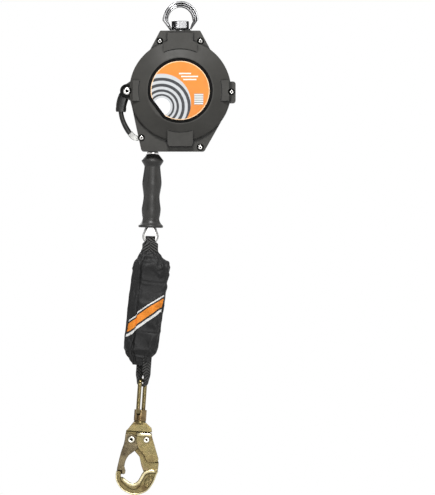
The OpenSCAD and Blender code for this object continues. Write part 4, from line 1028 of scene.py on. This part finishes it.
def lever_fold():
    """Rolled top edge of the lock lever, on both faces, in the paler gold that paints its highlight."""
    grids = []
    stations = [(-3.6, 0.6), (-2.8, 1.0), (5.0, 1.0), (13.0, 1.0), (20.0, 1.0), (22.9, 1.0), (23.7, 0.6)]
    for side in (-1, 1):
        spine = [(x, side * (CHEEK_FACE + 0.1), LEVER_TOP) for x, _ in stations]
        rows = sweep(spine, lambda j: rounded_box_loop(3.2 * stations[j][1], 1.5 * stations[j][1], 1.45))
        grids.append(grid_piece(rows))
    finish_piece("lever_fold", *join_grids(grids), HOOK, "hook_lock", PAINTED_HIGHLIGHT_GOLD, "gold")


def bowl_bead():
    """Rounded bead along the bowl's edge and on to the back of the bow, and thin rims round the outside, in the
    paler gold that paints their highlights.
    """
    inner = [(-26.9, -103.6), (-22.4, -108.2), (-17.0, -111.9), (-11.0, -115.2), (-4.6, -116.4),
             (1.4, -114.4), (6.6, -109.6), (10.6, -102.4), (13.6, -95.6), (18.0, -91.3), (24.6, -88.9),
             (31.0, -88.4), (38.0, -88.9)]
    outer = [(39.0, -88.0), (36.2, -95.0), (31.2, -110.0), (19.6, -125.8), (-0.9, -132.8), (-22.2, -125.8),
             (-33.8, -111.8), (-36.2, -100.4), (-35.6, -93.2)]
    spine = [(x, 0.0, z) for x, z in curve_through(inner, 6)]
    last = len(spine) - 1
    taper = [min(1.0, 0.5 + 0.12 * min(j, last - j)) for j in range(last + 1)]
    rows = sweep(spine, lambda j: rounded_box_loop(3.2 * taper[j], 8.0 * taper[j], 2.0, 6))
    grids = [grid_piece(rows)]
    for side in (-1, 1):
        rim = [(x, side * 5.3, z) for x, z in curve_through(outer, 8)]
        grids.append(grid_piece(sweep(rim, lambda j: ring_points(1.5, 14))))
    finish_piece("bowl_bead", *join_grids(grids), HOOK, "hook", PAINTED_HIGHLIGHT_GOLD, "gold")


def flat_piece(outline, half):
    """A plate of the given outline in the hook's plane."""
    return grid_piece([[(x, y, z) for x, z in outline] for y in (-half, half)])


def nose_tongue():
    """Tongue on the nose that the closed gate's slot covers, and the web behind the lever's foot."""
    tongue = [(-35.8, -94.5), (-28.0, -98.0), (-25.0, -97.6), (-25.0, -88.5), (-34.8, -88.5)]
    web = [(32.0, -69.0), (38.7, -68.5), (40.0, -72.0), (39.8, -74.5), (32.0, -74.5)]
    grids = [flat_piece(tongue, 2.4), flat_piece(web, 3.0)]
    piece = finish_piece("nose_tongue", *join_grids(grids), HOOK, "hook", GATE_GOLD, "gold")
    piece.data.shade_flat()


def bow_panel():
    """Oval panel with a cast texture on each face of the hook's back."""
    grids = []
    along, rise = cos(PANEL_TILT), sin(PANEL_TILT)
    for side in (-1, 1):
        rows = []
        for share, y in PANEL_STEPS:
            oval = [(PANEL_LONG * share * a, PANEL_SHORT * share * b) for a, b in ring_points(1.0, 56)]
            turned = [(u * along - v * rise, u * rise + v * along) for u, v in oval]
            rows.append([(PANEL_X + x, side * y, PANEL_Z + z) for x, z in turned])
        grids.append(grid_piece(rows[::side], caps=False))
    finish_piece("bow_panel", *join_grids(grids), HOOK, "hook", CAST_GOLD, "gold")


# ---- anchor eye
EYE_OUTER = (33.0, -21.0, 18.5, -42.4)  # radius, centre, half width and height at the foot
EYE_INNER = (23.0, -23.0, 17.0, -39.0)
# Spans of the eye's section in the dark chrome: painted dark reflections at the outer and inner edges, painted
# shade in the grooves.
EYE_PAINTED_DARK_SPANS = ((0.95, 1.0), (0.56, 0.70), (0.26, 0.38), (0.0, 0.09))  # dark parts of the section, by share
EYE_SHANK = (8.0, -50.4)  # radius, and height of its lower end
KNEE = radians(-5)  # where the legs meet the bow
ARC_STEPS, LEG_STEPS, BASE_STEPS = 72, 10, 9


def bow_line(r, centre, foot_half, foot):
    """Closed line round a bow: up the right leg, over the top, down the left leg and back along the base."""
    knee = (r * cos(KNEE), centre + r * sin(KNEE))
    shares = [k / LEG_STEPS for k in range(LEG_STEPS)]
    leg = [(foot_half + (knee[0] - foot_half) * t, foot + (knee[1] - foot) * t) for t in shares]
    angles = [KNEE + (pi - 2 * KNEE) * k / ARC_STEPS for k in range(ARC_STEPS + 1)]
    arc = [(r * cos(a), centre + r * sin(a)) for a in angles]
    base = [(foot_half * (2 * k / BASE_STEPS - 1), foot) for k in range(1, BASE_STEPS)]
    return leg + arc + [(-x, z) for x, z in reversed(leg)] + base


def eye_bow():
    """Forged eye: a rounded outer ridge, an inner ridge and a thin lip with grooves between them; the grooves and
    edges carry painted shade and painted dark reflections.
    """
    half = [(1.0, 0.0), (1.0, 3.0), (0.99, 4.6), (0.965, 6.0), (0.925, 7.2), (0.87, 8.0), (0.80, 8.5),
            (0.73, 8.3), (0.675, 7.5), (0.645, 6.2), (0.615, 5.7), (0.575, 5.7), (0.55, 6.4), (0.52, 7.5),
            (0.47, 8.0), (0.42, 7.8), (0.375, 6.9), (0.35, 5.2), (0.32, 4.7), (0.28, 4.7), (0.255, 5.3),
            (0.20, 6.2), (0.13, 6.0), (0.05, 4.8), (0.01, 3.0)]
    section = half + [(share, -depth) for share, depth in reversed(half[1:])]
    rows = []
    for (ox, oz), (ix, iz) in zip(bow_line(*EYE_OUTER), bow_line(*EYE_INNER)):
        rows.append([(ix + (ox - ix) * share, depth, iz + (oz - iz) * share) for share, depth in section])
    grids = [grid_piece(rows, closed_path=True)]
    grids.append(grid_piece(lathe([EYE_SHANK, (EYE_SHANK[0], EYE_OUTER[3])]), caps=False))
    piece = finish_piece("eye_bow", *join_grids(grids), EYE, "anchor", CHROME, "eye", ["anchor_eye"])
    # Second material: painted shade and painted dark reflections on the dark spans of the section.
    piece.data.materials.append(CHROME_SHADE)
    width = len(section)
    for face in piece.data.polygons[: len(rows) * width]:
        a, b = section[face.index % width][0], section[(face.index + 1) % width][0]
        if any(low <= (a + b) / 2 <= high for low, high in EYE_PAINTED_DARK_SPANS):
            face.material_index = 1


# ---- label groove ring
GROOVE_TOP = -43.4
GROOVE_RING_R, GROOVE_RING_CHORD = 57.5, 53.2  # radius, and distance of the straight edge
CHORD_TURN = radians(217)
GROOVE_RING_STEPS = 96


def label_groove_ring():
    """Near-black ring laid in the groove round the label, a disc with one straight edge."""
    half = acos(GROOVE_RING_CHORD / GROOVE_RING_R)
    angles = [CHORD_TURN + half + 2 * (pi - half) * k / GROOVE_RING_STEPS for k in range(GROOVE_RING_STEPS + 1)]
    spine = [(GROOVE_RING_R * cos(a), GROOVE_TOP - 0.3, GROOVE_RING_R * sin(a)) for a in angles]
    rows = sweep(spine, lambda j: rounded_box_loop(2.6, 0.7, 0.6, 3), closed=True)
    black_piece("label_groove_ring", [grid_piece(rows, closed_path=True)])


hand_grip()
eye_bow()
label_groove_ring()
rivets()
lever_fold()
bowl_bead()
bow_panel()
cable_eye()
cable_line()
upper_webbing()
lower_webbing()
shock_pack()
carry_handle()
screw_well_shades()
socket_painted_shades()
nose_tongue()


# ---- light, floor and camera
LAMPS = {  # place, aim, side in metres and power in watts
    "key": ((-0.05, -0.80, 0.70), (0, 0, -0.10), 0.35, 18.0),
    "front": ((0.3, -2.0, -0.35), (0, 0, -0.7), 0.8, 14.5),
    "back": ((-0.6, 1.9, 0.6), (0, 0, -0.3), 1.2, 22.0),
}
ROOM_LIGHT = 0.24  # share of the white backdrop that lights matt surfaces
SCREENS = 4.0  # upright dark screens round the room
SCREEN_SPREAD = -0.35  # the higher, the wider each upright screen
SCREEN_HEIGHTS = (0.42, 0.74)  # of the level screens, above and below the middle
SCREEN_GAPS = 0.40
SCREEN_TONE = 0.02
FLOOR_TONE = 0.60
FLOOR_FADE = (0.25, 1.3, 0.72, 1.0)  # distances, and how white the floor looks at each
FLOOR_GAP = 0.22  # metres below the lowest point


def lamps():
    for name, (location, aim, side, power) in LAMPS.items():
        data = bpy.data.lights.new(name, "AREA")
        data.shape = "RECTANGLE"
        data.size = data.size_y = side
        data.energy = power
        lamp = bpy.data.objects.new(name, data)
        bpy.context.collection.objects.link(lamp)
        lamp.location = location
        lamp.rotation_euler = (Vector(aim) - Vector(location)).to_track_quat("-Z", "Y").to_euler()


def studio_world():
    """White backdrop; metal also picks up a pale room with upright and level dark screens."""
    world = bpy.data.worlds.new("studio")
    bpy.context.scene.world = world
    world.use_nodes = True
    n = Nodes(world.node_tree)
    background = n.tree.nodes["Background"]
    background.inputs[0].default_value = (1, 1, 1, 1)
    camera_ray, seen = n.eye_rays()
    around = n.node("ShaderNodeTexCoord").outputs["Generated"]
    x, y, z = n.axes(around)
    upright = n.math("COSINE", n.times(n.math("ARCTAN2", y, x), SCREENS))
    upright = n.between(upright, -2.0, SCREEN_SPREAD, 0.06)
    level = n.between(n.math("ABSOLUTE", z), *SCREEN_HEIGHTS, 0.03)
    whole = n.between(n.noise(around, 3.1, 1.0), SCREEN_GAPS, 2.0, 0.02)
    screens = n.times(n.math("MAXIMUM", upright, level), whole)
    tone = n.math("MULTIPLY_ADD", screens, SCREEN_TONE - 1.0, 1.0)
    room = n.math("MULTIPLY_ADD", seen, 1.0 - ROOM_LIGHT, ROOM_LIGHT)
    strength = n.math("MAXIMUM", n.times(room, tone), camera_ray)
    n.tree.links.new(strength, background.inputs[1])


def pale_floor():
    """White floor that still takes the object's shadow."""
    s = Shader("floor_white", Base_Color=(FLOOR_TONE,) * 3, Roughness=0.9)
    _, seen = s.eye_rays()
    far = s.node("ShaderNodeVectorMath", s.position(), operation="LENGTH").outputs["Value"]
    fade = s.times(seen, s.spread(far, *FLOOR_FADE))
    glow = s.node("ShaderNodeEmission").outputs[0]
    mixer = s.node("ShaderNodeMixShader", fade, s.shader.outputs[0], glow)
    s.tree.links.new(mixer.outputs[0], s.tree.nodes["Material Output"].inputs[0])
    bpy.ops.mesh.primitive_plane_add(size=30, location=(0, 0, cad_box[0][2] - FLOOR_GAP))
    floor = bpy.context.object
    floor.name = "floor"
    floor.data.materials.append(s.material)


PHOTO_W = 0.8048  # width of the view at the object, in metres
VIEW_CENTRE = Vector((0.0688, 0.0, -0.444))
CAMERA_AWAY = 12.0
SENSOR = 36.0


def camera():
    data = bpy.data.cameras.new("camera")
    data.sensor_fit = "HORIZONTAL"
    data.sensor_width = SENSOR
    data.lens = SENSOR * CAMERA_AWAY / PHOTO_W
    made = bpy.data.objects.new("camera", data)
    bpy.context.collection.objects.link(made)
    made.location = VIEW_CENTRE + Vector((0, -CAMERA_AWAY, 0))
    made.rotation_euler = (radians(90), 0, 0)
    bpy.context.scene.camera = made


studio_world()
pale_floor()
lamps()
camera()

bpy.context.scene.view_settings.view_transform = "Standard"
